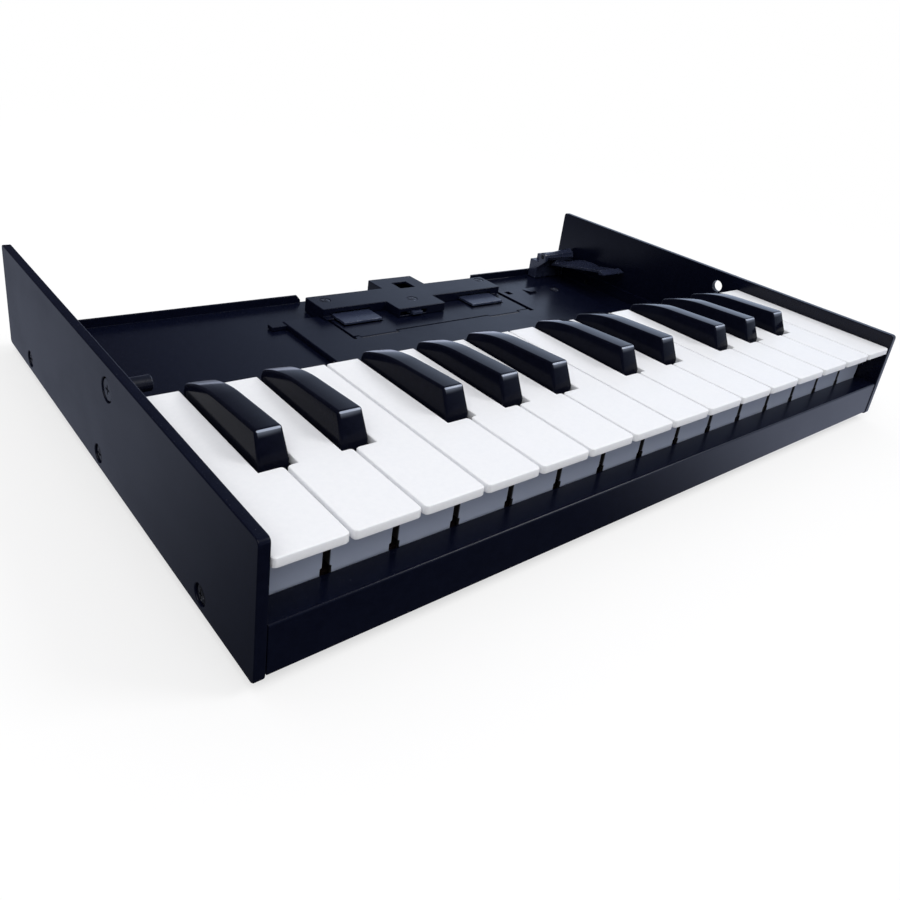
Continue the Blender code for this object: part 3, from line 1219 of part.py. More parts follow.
def build():
    clear_scene()
    paint = make_material("black_paint", (0.012, 0.013, 0.02), 0.35, 0.2)
    white = make_material("white_keys", (0.87, 0.88, 0.9), 0.35, 0)
    black = make_material("black_keys", (0.01, 0.01, 0.013), 0.18, 0)
    moulding = make_material("black_moulding", (0.02, 0.02, 0.024), 0.55, 0)
    screw = make_material("black_screws", (0.02, 0.02, 0.025), 0.3, 0.9)
    steel = make_material("bright_steel", (0.55, 0.56, 0.58), 0.3, 1)
    rubber = make_material("rubber", (0.03, 0.03, 0.03), 0.8, 0)
    felt = make_material("felt", (0.25, 0.03, 0.03), 0.95, 0)
    board = make_material("circuit_board", (0.03, 0.13, 0.06), 0.5, 0)

    make_side_panel("left_side_panel", -1, paint)
    make_side_panel("right_side_panel", 1, paint)
    for label, side in (("left", -1), ("right", 1)):
        for place_name, place in zip(("front", "middle", "rear"), side_screw_places()):
            make_side_screw(f"{label}_{place_name}_screw", side, place, screw)
    make_pivot_bolt(screw)
    make_chassis(paint)
    make_front_panel(paint)
    for label, x in (("left", -WIDTH / 2 + FOOT_INSET_X), ("right", WIDTH / 2 - FOOT_INSET_X)):
        make_foot(f"front_{label}_foot", x, FOOT_INSET_Y, rubber)
        make_foot(f"rear_{label}_foot", x, DEPTH - FOOT_INSET_Y, rubber)

    make_keybed(moulding)
    make_key_rod(steel)
    make_felt("front_stop_felt", RAIL_FRONT + FELT_MARGIN, RAIL_FRONT + FELT_MARGIN + FRONT_FELT_DEPTH,
              RAIL_TOP + GAP, RAIL_TOP + GAP + FRONT_FELT_THICKNESS, felt)
    hook_top = FRONT_WALL_BOTTOM + HOOK_THICKNESS
    make_felt("rise_stop_felt", RAIL_FRONT + FELT_MARGIN, RAIL_FRONT + FELT_MARGIN + UP_FELT_DEPTH,
              hook_top + GAP, hook_top + GAP + UP_FELT_THICKNESS, felt)
    make_felt("black_stop_felt", BLACK_RAIL_FRONT + FELT_MARGIN, BLACK_RAIL_BACK - FELT_MARGIN,
              BLACK_RAIL_TOP + GAP, BLACK_RAIL_TOP + GAP + BLACK_FELT_THICKNESS, felt)
    make_contact_board(board)
    make_contact_rubber(rubber)
    make_spring_comb(steel)
    for index in range(WHITE_COUNT):
        make_white_key(index, white)
    for number, (center, left_white) in enumerate(black_keys()):
        make_black_key(number, center, black)

    make_platform(paint)
    make_stand_pin(steel)
    make_stand_plate(paint)
    make_cross_bracket(paint)
    make_prop_leg("left_prop_leg", LEG_LEFTS[0], paint)
    make_prop_leg("right_prop_leg", LEG_LEFTS[1], paint)
    make_leg_pin(steel)
    make_latch(moulding)

    make_connector_clamp(moulding)
    make_connector_arm(moulding)
    make_connector_plug(moulding)
    make_arm_pin(steel)


build()
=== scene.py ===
import functools
import json
import math

import bmesh
import bpy
from mathutils import Matrix, Vector


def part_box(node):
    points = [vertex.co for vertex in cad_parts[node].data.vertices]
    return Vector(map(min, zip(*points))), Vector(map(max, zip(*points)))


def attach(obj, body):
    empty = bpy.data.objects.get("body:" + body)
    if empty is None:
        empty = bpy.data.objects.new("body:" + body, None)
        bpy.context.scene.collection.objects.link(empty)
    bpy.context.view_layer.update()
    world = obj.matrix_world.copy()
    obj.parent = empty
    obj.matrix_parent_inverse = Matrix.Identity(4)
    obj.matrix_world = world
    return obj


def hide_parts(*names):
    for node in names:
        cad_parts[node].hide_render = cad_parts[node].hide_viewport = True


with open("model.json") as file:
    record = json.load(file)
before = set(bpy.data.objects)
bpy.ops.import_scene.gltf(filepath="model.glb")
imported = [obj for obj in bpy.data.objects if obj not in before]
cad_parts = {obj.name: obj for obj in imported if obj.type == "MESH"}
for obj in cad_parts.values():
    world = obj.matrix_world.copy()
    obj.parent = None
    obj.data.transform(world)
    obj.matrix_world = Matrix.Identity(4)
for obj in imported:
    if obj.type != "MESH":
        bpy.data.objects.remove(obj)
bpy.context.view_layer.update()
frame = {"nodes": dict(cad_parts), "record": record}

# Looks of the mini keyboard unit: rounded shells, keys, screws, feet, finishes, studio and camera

MM = 0.001
WHITE = (1.0, 1.0, 1.0)
HALF = 0.5

# Which body carries each node, and the slot that the record gives it
BODIES = frame["record"]["behaviour"]["bodies"]
SLOTS = {part["node"]: part["material_slot"] for part in frame["record"]["subparts"]}

# The camera of the photograph, found from the keys' gaps and the panels' corners
CAMERA_PLACE = (-218.7 * MM, -226.8 * MM, 146.4 * MM)
CAMERA_AZIMUTH = math.radians(44.596)
CAMERA_DIP = math.radians(23.849)
CAMERA_ROLL = math.radians(9.216)
PHOTO_SIDE = 900
FOCAL_PIXELS = 801.96
PRINCIPAL_X = 487.58
PRINCIPAL_Y = 373.2
SENSOR = 36.0
CLIP_START = 1 * MM
CLIP_END = 20

# Two soft lamps: where each shines from, its strength and how wide it is
LAMPS = {
    "right_lamp": ((0.64, -0.40, 0.65), 0.75, math.radians(20)),
    "front_lamp": ((-0.28, -0.45, 0.85), 1.22, math.radians(60)),
}

# The room: paler above, and in gloss a dim blue that pales to the right
ROOM_LOW = (0.20, 0.205, 0.215)
ROOM_HIGH = (0.67, 0.67, 0.68)
ROOM_HIGH_FROM = 0.7
ROOM_GLOSS_DARK = (0.05, 0.055, 0.08)
ROOM_GLOSS_LIGHT = (0.64, 0.76, 1.0)
ROOM_GLOSS_SIDE = (0.22, 0.84)

# The floor: its paint, the light it throws back, and where it fades into the backdrop
FLOOR_HALF = 3.0
FLOOR_DROP = 0.05 * MM
FLOOR_PAINT = (0.96, 0.96, 0.96)
FLOOR_BOUNCE = (0.20, 0.20, 0.21)
FLOOR_FADE = (0.33, 0.7)
FLOOR_LEAST_FADE = 0.6

# The floor as gloss shows it: dark in front of the unit's left end, paler behind it, white to the right
FLOOR_GLOSS = (0.70, 0.77, 1.0)
FLOOR_GLOSS_X = (-0.04, 0.12)
FLOOR_GLOSS_Y = (-0.12, 0.03)
FLOOR_NEAR_GLOSS = 0.06
FLOOR_FAR_GLOSS = 0.34

# Grain: the wide pattern's scale and weight beside the fine one, and the heights that the tone spans
GRAIN_WIDE_SCALE = 0.21
GRAIN_WIDE_WEIGHT = 0.6
GRAIN_TONE = (0.3, 0.7)

# Edge wear: its reach, how far the surface turns at an edge, and the noise that leaves bare patches
WEAR_WIDTH = 0.4 * MM
WEAR_PATCH_SIZE = 6 * MM
WEAR_TURN = (0.02, 0.25)
WEAR_PATCHES = (0.42, 0.66)
WEAR_SAMPLES = 4

# Hand smudges: the wiping is drawn out, finer than the marks and fainter, and shows in part of the noise
WIPE_STRETCH = (1.0, 0.35, 1.0)
WIPE_SCALE = 3.0
WIPE_WEIGHT = 0.35
SMUDGE_SHOWS = (0.35, 0.68)

# Dust: how far up a face must look to hold it, and the noise that counts as a speck
DUST_COLOR = (0.55, 0.56, 0.6)
DUST_SPECK_SIZE = 0.35 * MM
DUST_FACING = (0.55, 0.95)
DUST_SPECKS = (0.7, 0.82)

# White keys: painted shade on the walls under the lip and on the sides that face the next key, and the
# glow of the plastic
LIP_BOTTOM = 34.0 * MM
SHADE_BLEND = 0.15 * MM
PAINTED_WALL_SHADE = (0.44, 0.49, 0.62)
PAINTED_GAP_SHADE = (0.035, 0.03, 0.028)
SIDE_FACING = (0.75, 0.98)
GLOW_DEPTH = 0.9 * MM
GLOW_SPREAD = (1.0, 1.0, 1.0)

# Black keys: the painted highlight along the rounded front edge, the polished top and the duller sides.
# Times LEAN_SCALE, the product of a normal's Y and Z is 1 where it leans forward by 45 degrees.
PAINTED_TIP_HIGHLIGHT = (0.34, 0.38, 0.47)
TIP_LEAN = (0.78, 0.95)
LEAN_SCALE = -2.0
POLISH_FACING = (0.15, 0.8)
SIDE_POLISH = 0.12
POLISH_IOR = 1.22
POLISH_ROUGHNESS = 0.09

# How a node's loose triangles are welded into flat faces, and the least edge that is rounded
WELD = 0.002 * MM
FLAT_ANGLE = math.radians(0.2)
ROUND_ANGLE = math.radians(50)

# Edge radius and steps of each shell that is rounded
SHELL_EDGES = {
    "left_side_panel": (0.35 * MM, 3),
    "right_side_panel": (0.35 * MM, 3),
    "front_panel": (0.25 * MM, 3),
    "bottom_chassis": (0.2 * MM, 2),
    "bay_platform": (0.14 * MM, 2),
    "stand_plate": (0.14 * MM, 2),
    "cross_bracket": (0.2 * MM, 3),
    "left_prop_leg": (0.12 * MM, 2),
    "right_prop_leg": (0.12 * MM, 2),
    "stand_latch": (0.12 * MM, 2),
    "connector_clamp": (0.25 * MM, 3),
    "connector_arm": (0.12 * MM, 2),
    "connector_plug": (0.2 * MM, 3),
    "module_pivot_bolt": (0.1 * MM, 2),
}
WHITE_KEY_EDGE = (0.18 * MM, 3)

# Black keys: the rule of their form, in sizes that a node's box doesn't give
BLACK_KEY_SIZES = ("Centre", "Foot Width", "Top Width", "Front", "Top Front", "Crown End", "Back",
                   "Bottom", "Shoulder", "Top Height", "Crown Height", "Back Height")
BLACK_SHOULDER = 36.7 * MM
BLACK_FRONT_LEAN = 3.75 * MM
BLACK_TOP_NARROWING = 1.3 * MM
BLACK_CROWN_LENGTH = 23.1 * MM
BLACK_CROWN_DROP = 1.4 * MM
BLACK_BACK_DROP = 6.3 * MM
BLACK_EDGE = (0.8 * MM, 5)
BLACK_STATIONS = 40
BLACK_LEVELS = 3

# Cross-head screws, with their sizes in the order of the names
SCREW_SIZES = ("Head Radius", "Head Height", "Crown", "Arm", "Slot", "Depth", "Shank Radius",
               "Shank Length")
SIDE_SCREW = (2.7 * MM, 0.9 * MM, 0.3 * MM, 3.2 * MM, 0.65 * MM, 0.6 * MM, 1.3 * MM, 3.8 * MM)
SMALL_SCREW = (2.4 * MM, 0.45 * MM, 0.2 * MM, 2.6 * MM, 0.5 * MM, 0.35 * MM, 0.7 * MM, 0.9 * MM)
FLANGE_SCREW = (2.5 * MM, 0.8 * MM, 0.35 * MM, 2.9 * MM, 0.55 * MM, 0.5 * MM, 1.4 * MM, 2.0 * MM)
HEAD_HEIGHT = SCREW_SIZES.index("Head Height")
SCREW_SIDES = 32
SCREW_RINGS = 5
SCREW_SHARP = math.radians(35)
SCREW_SEEDS = {
    "left_panel_screws": 5,
    "right_panel_screws": 3,
    "bracket_screws": 7,
    "platform_screws": 11,
    "chassis_screws": 13,
}
UP = (0.0, 0.0, 1.0)
DOWN = (0.0, 0.0, -1.0)

# Where the small screws sit: in the bracket's seats, on the platform and under the chassis
BRACKET_SEAT = 12.6 * MM
BRACKET_SCREW_PLACES = ((-26.4 * MM, 84.8 * MM), (16.6 * MM, 73.4 * MM), (71.6 * MM, 86.6 * MM))
PLATFORM_TOP = 8.0 * MM
PLATFORM_SCREW_PLACES = ((116.5 * MM, 69.7 * MM), (116.5 * MM, 16.0 * MM), (-45.0 * MM, 16.0 * MM))
CHASSIS_BOTTOM = 4.2 * MM
UNDER_SCREW_XS = (-132 * MM, -46 * MM, 46 * MM, 132 * MM)
UNDER_SCREW_YS = (-98 * MM, -74 * MM, -32 * MM)

# Rubber feet: the rounded rim and the dished sole, as heights and as shares of the radius
FOOT_SIZES = ("Radius", "Height", "Rim", "Dish")
FOOT_RIM = 0.8 * MM
FOOT_RIM_SHARE = (0.86, 1.0)
FOOT_DISH = 0.6 * MM
FOOT_DISH_SHARE = (0.62, 0.42)
FOOT_SIDES = 48
FOOT_RINGS = 10
FOOT_SHARP = math.radians(50)


def scene_object(name, data):
    piece = bpy.data.objects.new(name, data)
    bpy.context.scene.collection.objects.link(piece)
    return piece


def finished(piece):
    """The piece with its modifiers applied, as one plain mesh under its own name."""
    evaluated = piece.evaluated_get(bpy.context.evaluated_depsgraph_get())
    mesh = bpy.data.meshes.new_from_object(evaluated)
    piece.modifiers.clear()
    piece.data = mesh
    mesh.name = piece.name
    return piece


def finish_of(name, slot):
    """The finish that a node or piece has of its own, or else its slot's."""
    return FINISHES[OWN_FINISHES.get(name, slot)]


def dress(piece, slot, body, *nodes):
    """Give a piece its finish, its body and the nodes that it stands for."""
    named_by = nodes[0] if nodes else piece.name
    piece.data.materials.clear()
    piece.data.materials.append(finish_of(named_by, slot))
    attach(piece, body)
    if nodes:
        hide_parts(*nodes)


def body_of(node):
    return next(body for body, members in BODIES.items() if node in members)


def nodes_named(start):
    return sorted(node for node in frame["nodes"] if node.startswith(start))


def add_node(tree, kind, **settings):
    node = tree.nodes.new(kind)
    for key, value in settings.items():
        setattr(node, key, value)
    return node


def feed(tree, socket, value):
    """Link a socket to the value if that is a socket too, or else write the value into it."""
    if isinstance(value, bpy.types.NodeSocket):
        tree.links.new(value, socket)
    else:
        socket.default_value = value


def maths(tree, operation, *values):
    node = add_node(tree, "ShaderNodeMath", operation=operation)
    for socket, value in zip(node.inputs, values):
        feed(tree, socket, value)
    return node.outputs[0]


def split(tree, vector):
    """The three numbers of a vector, as outputs X, Y and Z."""
    node = tree.nodes.new("ShaderNodeSeparateXYZ")
    feed(tree, node.inputs[0], vector)
    return node.outputs


def joined(tree, x=0.0, y=0.0, z=0.0):
    node = tree.nodes.new("ShaderNodeCombineXYZ")
    for socket, value in zip(node.inputs, (x, y, z)):
        feed(tree, socket, value)
    return node.outputs[0]


def mixed(tree, kind, share, low, high):
    """The result of a mix node, low where the share is 0 and high where it is 1."""
    node = add_node(tree, "ShaderNodeMix", data_type="RGBA" if kind == "Color" else "FLOAT")
    sockets = {socket.identifier: socket for socket in node.inputs}
    feed(tree, sockets["Factor_Float"], share)
    feed(tree, sockets[f"A_{kind}"], low)
    feed(tree, sockets[f"B_{kind}"], high)
    return next(socket for socket in node.outputs if socket.identifier == f"Result_{kind}")


def blended(tree, share, low, high):
    """A number between two others."""
    return mixed(tree, "Float", share, low, high)


def tinted(tree, share, low, high):
    """A colour between two others, each a socket or three plain numbers."""
    low, high = ((*color, 1.0) if isinstance(color, tuple) else color for color in (low, high))
    return mixed(tree, "Color", share, low, high)


def stretched(tree, value, low, high, to_low=0.0, to_high=1.0):
    """The value moved smoothly from one range to another, and held at its ends."""
    node = add_node(tree, "ShaderNodeMapRange", clamp=True, interpolation_type="SMOOTHSTEP")
    for name, given in zip(("Value", "From Min", "From Max", "To Min", "To Max"),
                           (value, low, high, to_low, to_high)):
        feed(tree, node.inputs[name], given)
    return node.outputs["Result"]


def object_place(tree):
    return tree.nodes.new("ShaderNodeTexCoord").outputs["Object"]


def surface_normal(tree, kind="Normal"):
    return tree.nodes.new("ShaderNodeNewGeometry").outputs[kind]


def noise(tree, place, scale, detail=2.0, roughness=0.5):
    node = add_node(tree, "ShaderNodeTexNoise")
    feed(tree, node.inputs["Vector"], place)
    feed(tree, node.inputs["Scale"], scale)
    node.inputs["Detail"].default_value = detail
    node.inputs["Roughness"].default_value = roughness
    return node.outputs["Fac"]


def new_group(name, inputs, outputs):
    """A shader node group with named number inputs and outputs: the tree and its two ends."""
    group = bpy.data.node_groups.new(name, "ShaderNodeTree")
    for label, value in inputs.items():
        socket = group.interface.new_socket(label, in_out="INPUT", socket_type="NodeSocketFloat")
        socket.default_value = value
    for label in outputs:
        group.interface.new_socket(label, in_out="OUTPUT", socket_type="NodeSocketFloat")
    return group, group.nodes.new("NodeGroupInput").outputs, group.nodes.new("NodeGroupOutput").inputs


def make_grain_group():
    """Fine skin of paint or moulded plastic: a height for the bump and an even tone."""
    group, given, out = new_group("surface_grain", {"Size": 0.5 * MM}, ("Height", "Tone"))
    place = object_place(group)
    scale = maths(group, "DIVIDE", 1.0, given["Size"])
    fine = noise(group, place, scale, detail=3.0, roughness=0.55)
    wide = noise(group, place, maths(group, "MULTIPLY", scale, GRAIN_WIDE_SCALE))
    skin = blended(group, GRAIN_WIDE_WEIGHT, fine, wide)
    feed(group, out["Height"], skin)
    feed(group, out["Tone"], stretched(group, skin, *GRAIN_TONE))
    return group


def make_wear_group():
    """Where handling has worn an edge: the turn of the surface near it, broken by noise."""
    sizes = {"Width": WEAR_WIDTH, "Patch Size": WEAR_PATCH_SIZE, "Amount": 0.5}
    group, given, out = new_group("edge_wear", sizes, ("Mask",))
    rounded = add_node(group, "ShaderNodeBevel", samples=WEAR_SAMPLES)
    feed(group, rounded.inputs["Radius"], given["Width"])
    likeness = add_node(group, "ShaderNodeVectorMath", operation="DOT_PRODUCT")
    feed(group, likeness.inputs[0], rounded.outputs["Normal"])
    feed(group, likeness.inputs[1], surface_normal(group, "True Normal"))
    edge = stretched(group, maths(group, "SUBTRACT", 1.0, likeness.outputs["Value"]), *WEAR_TURN)
    scale = maths(group, "DIVIDE", 1.0, given["Patch Size"])
    patches = noise(group, object_place(group), scale, detail=4.0, roughness=0.65)
    wear_and_tip_highlight = maths(group, "MULTIPLY", edge, stretched(group, patches, *WEAR_PATCHES))
    feed(group, out["Mask"], maths(group, "MULTIPLY", wear_and_tip_highlight, given["Amount"]))
    return group


def make_smudge_group():
    """Faint hand marks and wiping: slow changes that make a gloss uneven."""
    group, given, out = new_group("hand_smudges", {"Size": 30 * MM}, ("Mask",))
    place = object_place(group)
    scale = maths(group, "DIVIDE", 1.0, given["Size"])
    marks = noise(group, place, scale, detail=4.0, roughness=0.6)
    streak = add_node(group, "ShaderNodeMapping")
    feed(group, streak.inputs["Vector"], place)
    streak.inputs["Scale"].default_value = WIPE_STRETCH
    wiped = noise(group, streak.outputs["Vector"], maths(group, "MULTIPLY", scale, WIPE_SCALE))
    both = blended(group, WIPE_WEIGHT, marks, wiped)
    feed(group, out["Mask"], stretched(group, both, *SMUDGE_SHOWS))
    return group


def make_dust_group():
    """Specks of dust that settle on what faces up."""
    sizes = {"Speck Size": DUST_SPECK_SIZE, "Amount": 0.3}
    group, given, out = new_group("settled_dust", sizes, ("Mask",))
    facing = stretched(group, split(group, surface_normal(group))["Z"], *DUST_FACING)
    scale = maths(group, "DIVIDE", 1.0, given["Speck Size"])
    specks = noise(group, object_place(group), scale, detail=1.0)
    lying = maths(group, "MULTIPLY", facing, stretched(group, specks, *DUST_SPECKS))
    feed(group, out["Mask"], maths(group, "MULTIPLY", lying, given["Amount"]))
    return group


GRAIN = make_grain_group()
WEAR = make_wear_group()
SMUDGES = make_smudge_group()
DUST = make_dust_group()


def placed(tree, group, **values):
    """A group in a material's tree, with its own values."""
    node = add_node(tree, "ShaderNodeGroup", node_tree=group)
    for key, value in values.items():
        node.inputs[key.title()].default_value = value
    return node.outputs


def painted_key_shade(tree, paint):
    """Painted shade on a white key: greyer walls under its lip, and dark sides where the next key keeps
    the light out.
    """
    height = split(tree, object_place(tree))["Z"]
    below = stretched(tree, height, LIP_BOTTOM - SHADE_BLEND, LIP_BOTTOM + SHADE_BLEND, 1.0, 0.0)
    facing = split(tree, surface_normal(tree, "True Normal"))["X"]
    sideways = stretched(tree, maths(tree, "ABSOLUTE", facing), *SIDE_FACING)
    paint = tinted(tree, below, paint, PAINTED_WALL_SHADE)
    return tinted(tree, maths(tree, "MULTIPLY", below, sideways), paint, PAINTED_GAP_SHADE)


def painted_tip_highlight(tree, paint):
    """A painted highlight: a pale band along a black key's rounded front edge, where the surface leans
    forward.
    """
    facing = split(tree, surface_normal(tree))
    lean = maths(tree, "MULTIPLY", maths(tree, "MULTIPLY", facing["Y"], facing["Z"]), LEAN_SCALE)
    return tinted(tree, stretched(tree, lean, *TIP_LEAN), paint, PAINTED_TIP_HIGHLIGHT)


def polish_top(tree, shader):
    """The black keys' tops are polished by use, and their sides are duller."""
    upward = split(tree, surface_normal(tree))["Z"]
    feed(tree, shader.inputs["Coat Weight"], stretched(tree, upward, *POLISH_FACING, SIDE_POLISH, 1.0))
    shader.inputs["Coat IOR"].default_value = POLISH_IOR
    shader.inputs["Coat Roughness"].default_value = POLISH_ROUGHNESS


def bumped(tree, height, distance):
    node = add_node(tree, "ShaderNodeBump")
    node.inputs["Strength"].default_value = 1.0
    node.inputs["Distance"].default_value = distance
    feed(tree, node.inputs["Height"], height)
    return node.outputs["Normal"]


def make_finish(name, color, tone, worn, roughness, spread, grain, bump, wear=0.3, dust=0.0,
                metallic=0.0, specular=0.5, smudge=30 * MM, glow=0.0, painted_shade=False, wear_and_tip_highlight=False):
    """A finish whose colour drifts between two tones, pales where it is worn and gathers dust; on the
    white keys it takes painted shade, and on the black keys a painted highlight along the front edge.
    """
    material = bpy.data.materials.new(name)
    material.use_nodes = True
    tree = material.node_tree
    shader = tree.nodes["Principled BSDF"]
    skin = placed(tree, GRAIN, size=grain)
    bare = placed(tree, WEAR, amount=wear)["Mask"]
    marks = placed(tree, SMUDGES, size=smudge)["Mask"]
    paint = tinted(tree, bare, tinted(tree, skin["Tone"], color, tone), worn)
    if dust:
        paint = tinted(tree, placed(tree, DUST, amount=dust)["Mask"], paint, DUST_COLOR)
    # Painted shade on the white keys' walls under the lip and on their sides in the gaps
    if painted_shade:
        paint = painted_key_shade(tree, paint)
    # A painted highlight along the black keys' front edges, and their polished tops
    if wear_and_tip_highlight:
        paint = painted_tip_highlight(tree, paint)
        polish_top(tree, shader)
    feed(tree, shader.inputs["Base Color"], paint)
    gloss = stretched(tree, marks, 0.0, 1.0, roughness, roughness + spread)
    feed(tree, shader.inputs["Roughness"], gloss)
    feed(tree, shader.inputs["Normal"], bumped(tree, skin["Height"], bump))
    shader.inputs["Metallic"].default_value = metallic
    shader.inputs["Specular IOR Level"].default_value = specular
    shader.inputs["Subsurface Weight"].default_value = glow
    shader.inputs["Subsurface Scale"].default_value = GLOW_DEPTH
    shader.inputs["Subsurface Radius"].default_value = GLOW_SPREAD
    return material


FINISHES = {
    "black_paint": make_finish(
        "case_satin_paint", color=(0.0018, 0.0026, 0.0095), tone=(0.0030, 0.0042, 0.0130),
        worn=(0.05, 0.058, 0.085), roughness=0.22, spread=0.05, grain=0.55 * MM, bump=0.0008 * MM,
        wear=0.15, dust=0.08, specular=0.2),
    # The white keys carry painted shade: greyer walls under the lip and dark sides in the gaps
    "white_keys": make_finish(
        "white_key_plastic", color=(0.845, 0.855, 0.885), tone=(0.87, 0.878, 0.905),
        worn=(0.80, 0.80, 0.81), roughness=0.34, spread=0.10, grain=0.3 * MM, bump=0.0012 * MM,
        wear=0.10, specular=0.3, smudge=14 * MM, glow=0.5, painted_shade=True),
    # The black keys carry a painted highlight along their rounded front edges
    "black_keys": make_finish(
        "black_key_plastic", color=(0.0026, 0.0031, 0.0075), tone=(0.0038, 0.0045, 0.0105),
        worn=(0.02, 0.022, 0.03), roughness=0.11, spread=0.05, grain=0.4 * MM, bump=0.0004 * MM,
        wear=0.12, dust=0.04, specular=0.03, smudge=10 * MM, wear_and_tip_highlight=True),
    "black_moulding": make_finish(
        "black_moulding", color=(0.004, 0.005, 0.012), tone=(0.006, 0.0075, 0.016),
        worn=(0.12, 0.13, 0.17), roughness=0.22, spread=0.10, grain=0.25 * MM, bump=0.005 * MM,
        wear=0.5, specular=0.45),
    "black_screws": make_finish(
        "blackened_screw_steel", color=(0.0012, 0.0013, 0.0018), tone=(0.0022, 0.0024, 0.0032),
        worn=(0.30, 0.31, 0.36), roughness=0.16, spread=0.10, grain=0.2 * MM, bump=0.003 * MM,
        wear=0.8, specular=0.16, smudge=3 * MM),
    "bright_steel": make_finish(
        "bright_steel", color=(0.50, 0.51, 0.54), tone=(0.60, 0.61, 0.63),
        worn=(0.75, 0.76, 0.78), roughness=0.2, spread=0.16, grain=0.15 * MM, bump=0.003 * MM,
        wear=0.4, metallic=1.0, smudge=4 * MM),
    "rubber": make_finish(
        "foot_rubber", color=(0.012, 0.012, 0.014), tone=(0.022, 0.022, 0.024),
        worn=(0.06, 0.06, 0.065), roughness=0.7, spread=0.2, grain=0.35 * MM, bump=0.03 * MM,
        wear=0.4, dust=0.2, specular=0.3, smudge=6 * MM),
    "felt": make_finish(
        "stop_felt", color=(0.018, 0.010, 0.010), tone=(0.035, 0.022, 0.020),
        worn=(0.06, 0.045, 0.04), roughness=0.9, spread=0.1, grain=0.18 * MM, bump=0.12 * MM,
        wear=0.3, specular=0.1, smudge=5 * MM),
    "circuit_board": make_finish(
        "board_lacquer", color=(0.012, 0.085, 0.035), tone=(0.02, 0.12, 0.05),
        worn=(0.30, 0.26, 0.14), roughness=0.3, spread=0.15, grain=0.8 * MM, bump=0.01 * MM,
        wear=0.4, specular=0.5, smudge=12 * MM),
    # Lighter than the case paint, with strong pale edge wear: partly real wear, partly a painted sheen
    # and a painted highlight along the edges of the legs and the latch
    "paint_with_painted_sheen": make_finish(
        "satin_paint_with_painted_sheen", color=(0.020, 0.026, 0.052), tone=(0.028, 0.035, 0.066),
        worn=(0.30, 0.34, 0.46), roughness=0.24, spread=0.08, grain=0.5 * MM, bump=0.001 * MM,
        wear=0.9, dust=0.05, specular=0.4),
    # Lighter than the black moulding, with strong pale edge wear: partly real wear, partly a painted
    # sheen and a painted highlight along the edges of the connector parts
    "moulding_with_painted_sheen": make_finish(
        "black_moulding_with_painted_sheen", color=(0.015, 0.019, 0.040), tone=(0.022, 0.027, 0.054),
        worn=(0.30, 0.33, 0.42), roughness=0.22, spread=0.10, grain=0.25 * MM, bump=0.004 * MM,
        wear=0.9, specular=0.6, smudge=8 * MM),
    "small_screws": make_finish(
        "small_screw_steel", color=(0.020, 0.021, 0.030), tone=(0.036, 0.038, 0.050),
        worn=(0.62, 0.65, 0.78), roughness=0.2, spread=0.10, grain=0.2 * MM, bump=0.003 * MM,
        wear=1.0, metallic=0.8, smudge=3 * MM),
}

# Nodes and pieces whose finish differs from the rest of their slot; the legs, the latch and the
# connector parts take lighter finishes with a painted sheen
OWN_FINISHES = {
    "left_prop_leg": "paint_with_painted_sheen",
    "right_prop_leg": "paint_with_painted_sheen",
    "stand_latch": "paint_with_painted_sheen",
    "connector_clamp": "moulding_with_painted_sheen",
    "connector_arm": "moulding_with_painted_sheen",
    "connector_plug": "moulding_with_painted_sheen",
    "connector_arm_pin": "black_screws",
    "module_pivot_bolt": "black_moulding",
    "bracket_screws": "small_screws",
    "platform_screws": "small_screws",
}


def finish_nodes():
    """The CAD nodes that stay in sight take their finish as they are."""
    for name, node in frame["nodes"].items():
        node.data.materials.clear()
        node.data.materials.append(finish_of(name, SLOTS[name]))


def welded_copy(node):
    """A node's mesh as whole flat faces, in place and ready to be rounded."""
    shape = bmesh.new()
    shape.from_mesh(frame["nodes"][node].data)
    bmesh.ops.remove_doubles(shape, verts=shape.verts, dist=WELD)
    bmesh.ops.dissolve_limit(shape, angle_limit=FLAT_ANGLE, verts=shape.verts, edges=shape.edges)
    mesh = bpy.data.meshes.new(node)
    shape.to_mesh(mesh)
    shape.free()
    mesh.shade_smooth()
    return mesh


def add_bevel(piece, radius, steps):
    bevel = piece.modifiers.new("edges", "BEVEL")
    bevel.width = radius
    bevel.segments = steps
    bevel.limit_method = "ANGLE"
    bevel.angle_limit = ROUND_ANGLE
    return bevel


def round_shell(node, radius, steps):
    """A node's shell with its sharp edges rounded and its flat faces kept flat."""
    piece = scene_object(f"{node}_shell", welded_copy(node))
    bevel = add_bevel(piece, radius, steps)
    bevel.use_clamp_overlap = False
    bevel.miter_outer = "MITER_ARC"
    even = piece.modifiers.new("flat faces", "WEIGHTED_NORMAL")
    even.keep_sharp = True
    finished(piece)
    dress(piece, SLOTS[node], body_of(node), node)


def make_shells():
    for node, (radius, steps) in SHELL_EDGES.items():
        round_shell(node, radius, steps)
    for node in nodes_named("white_key"):
        round_shell(node, *WHITE_KEY_EDGE)


def new_form(name, sizes, *others):
    """A geometry tree with named inputs, a finish among them: the tree, its values and its end."""
    tree = bpy.data.node_groups.new(name, "GeometryNodeTree")
    sockets = [("Geometry", "NodeSocketGeometry")]
    sockets += [(size, "NodeSocketFloat") for size in sizes]
    sockets += [*others, ("Finish", "NodeSocketMaterial")]
    for label, kind in sockets:
        tree.interface.new_socket(label, in_out="INPUT", socket_type=kind)
    tree.interface.new_socket("Geometry", in_out="OUTPUT", socket_type="NodeSocketGeometry")
    return tree, tree.nodes.new("NodeGroupInput").outputs, tree.nodes.new("NodeGroupOutput").inputs


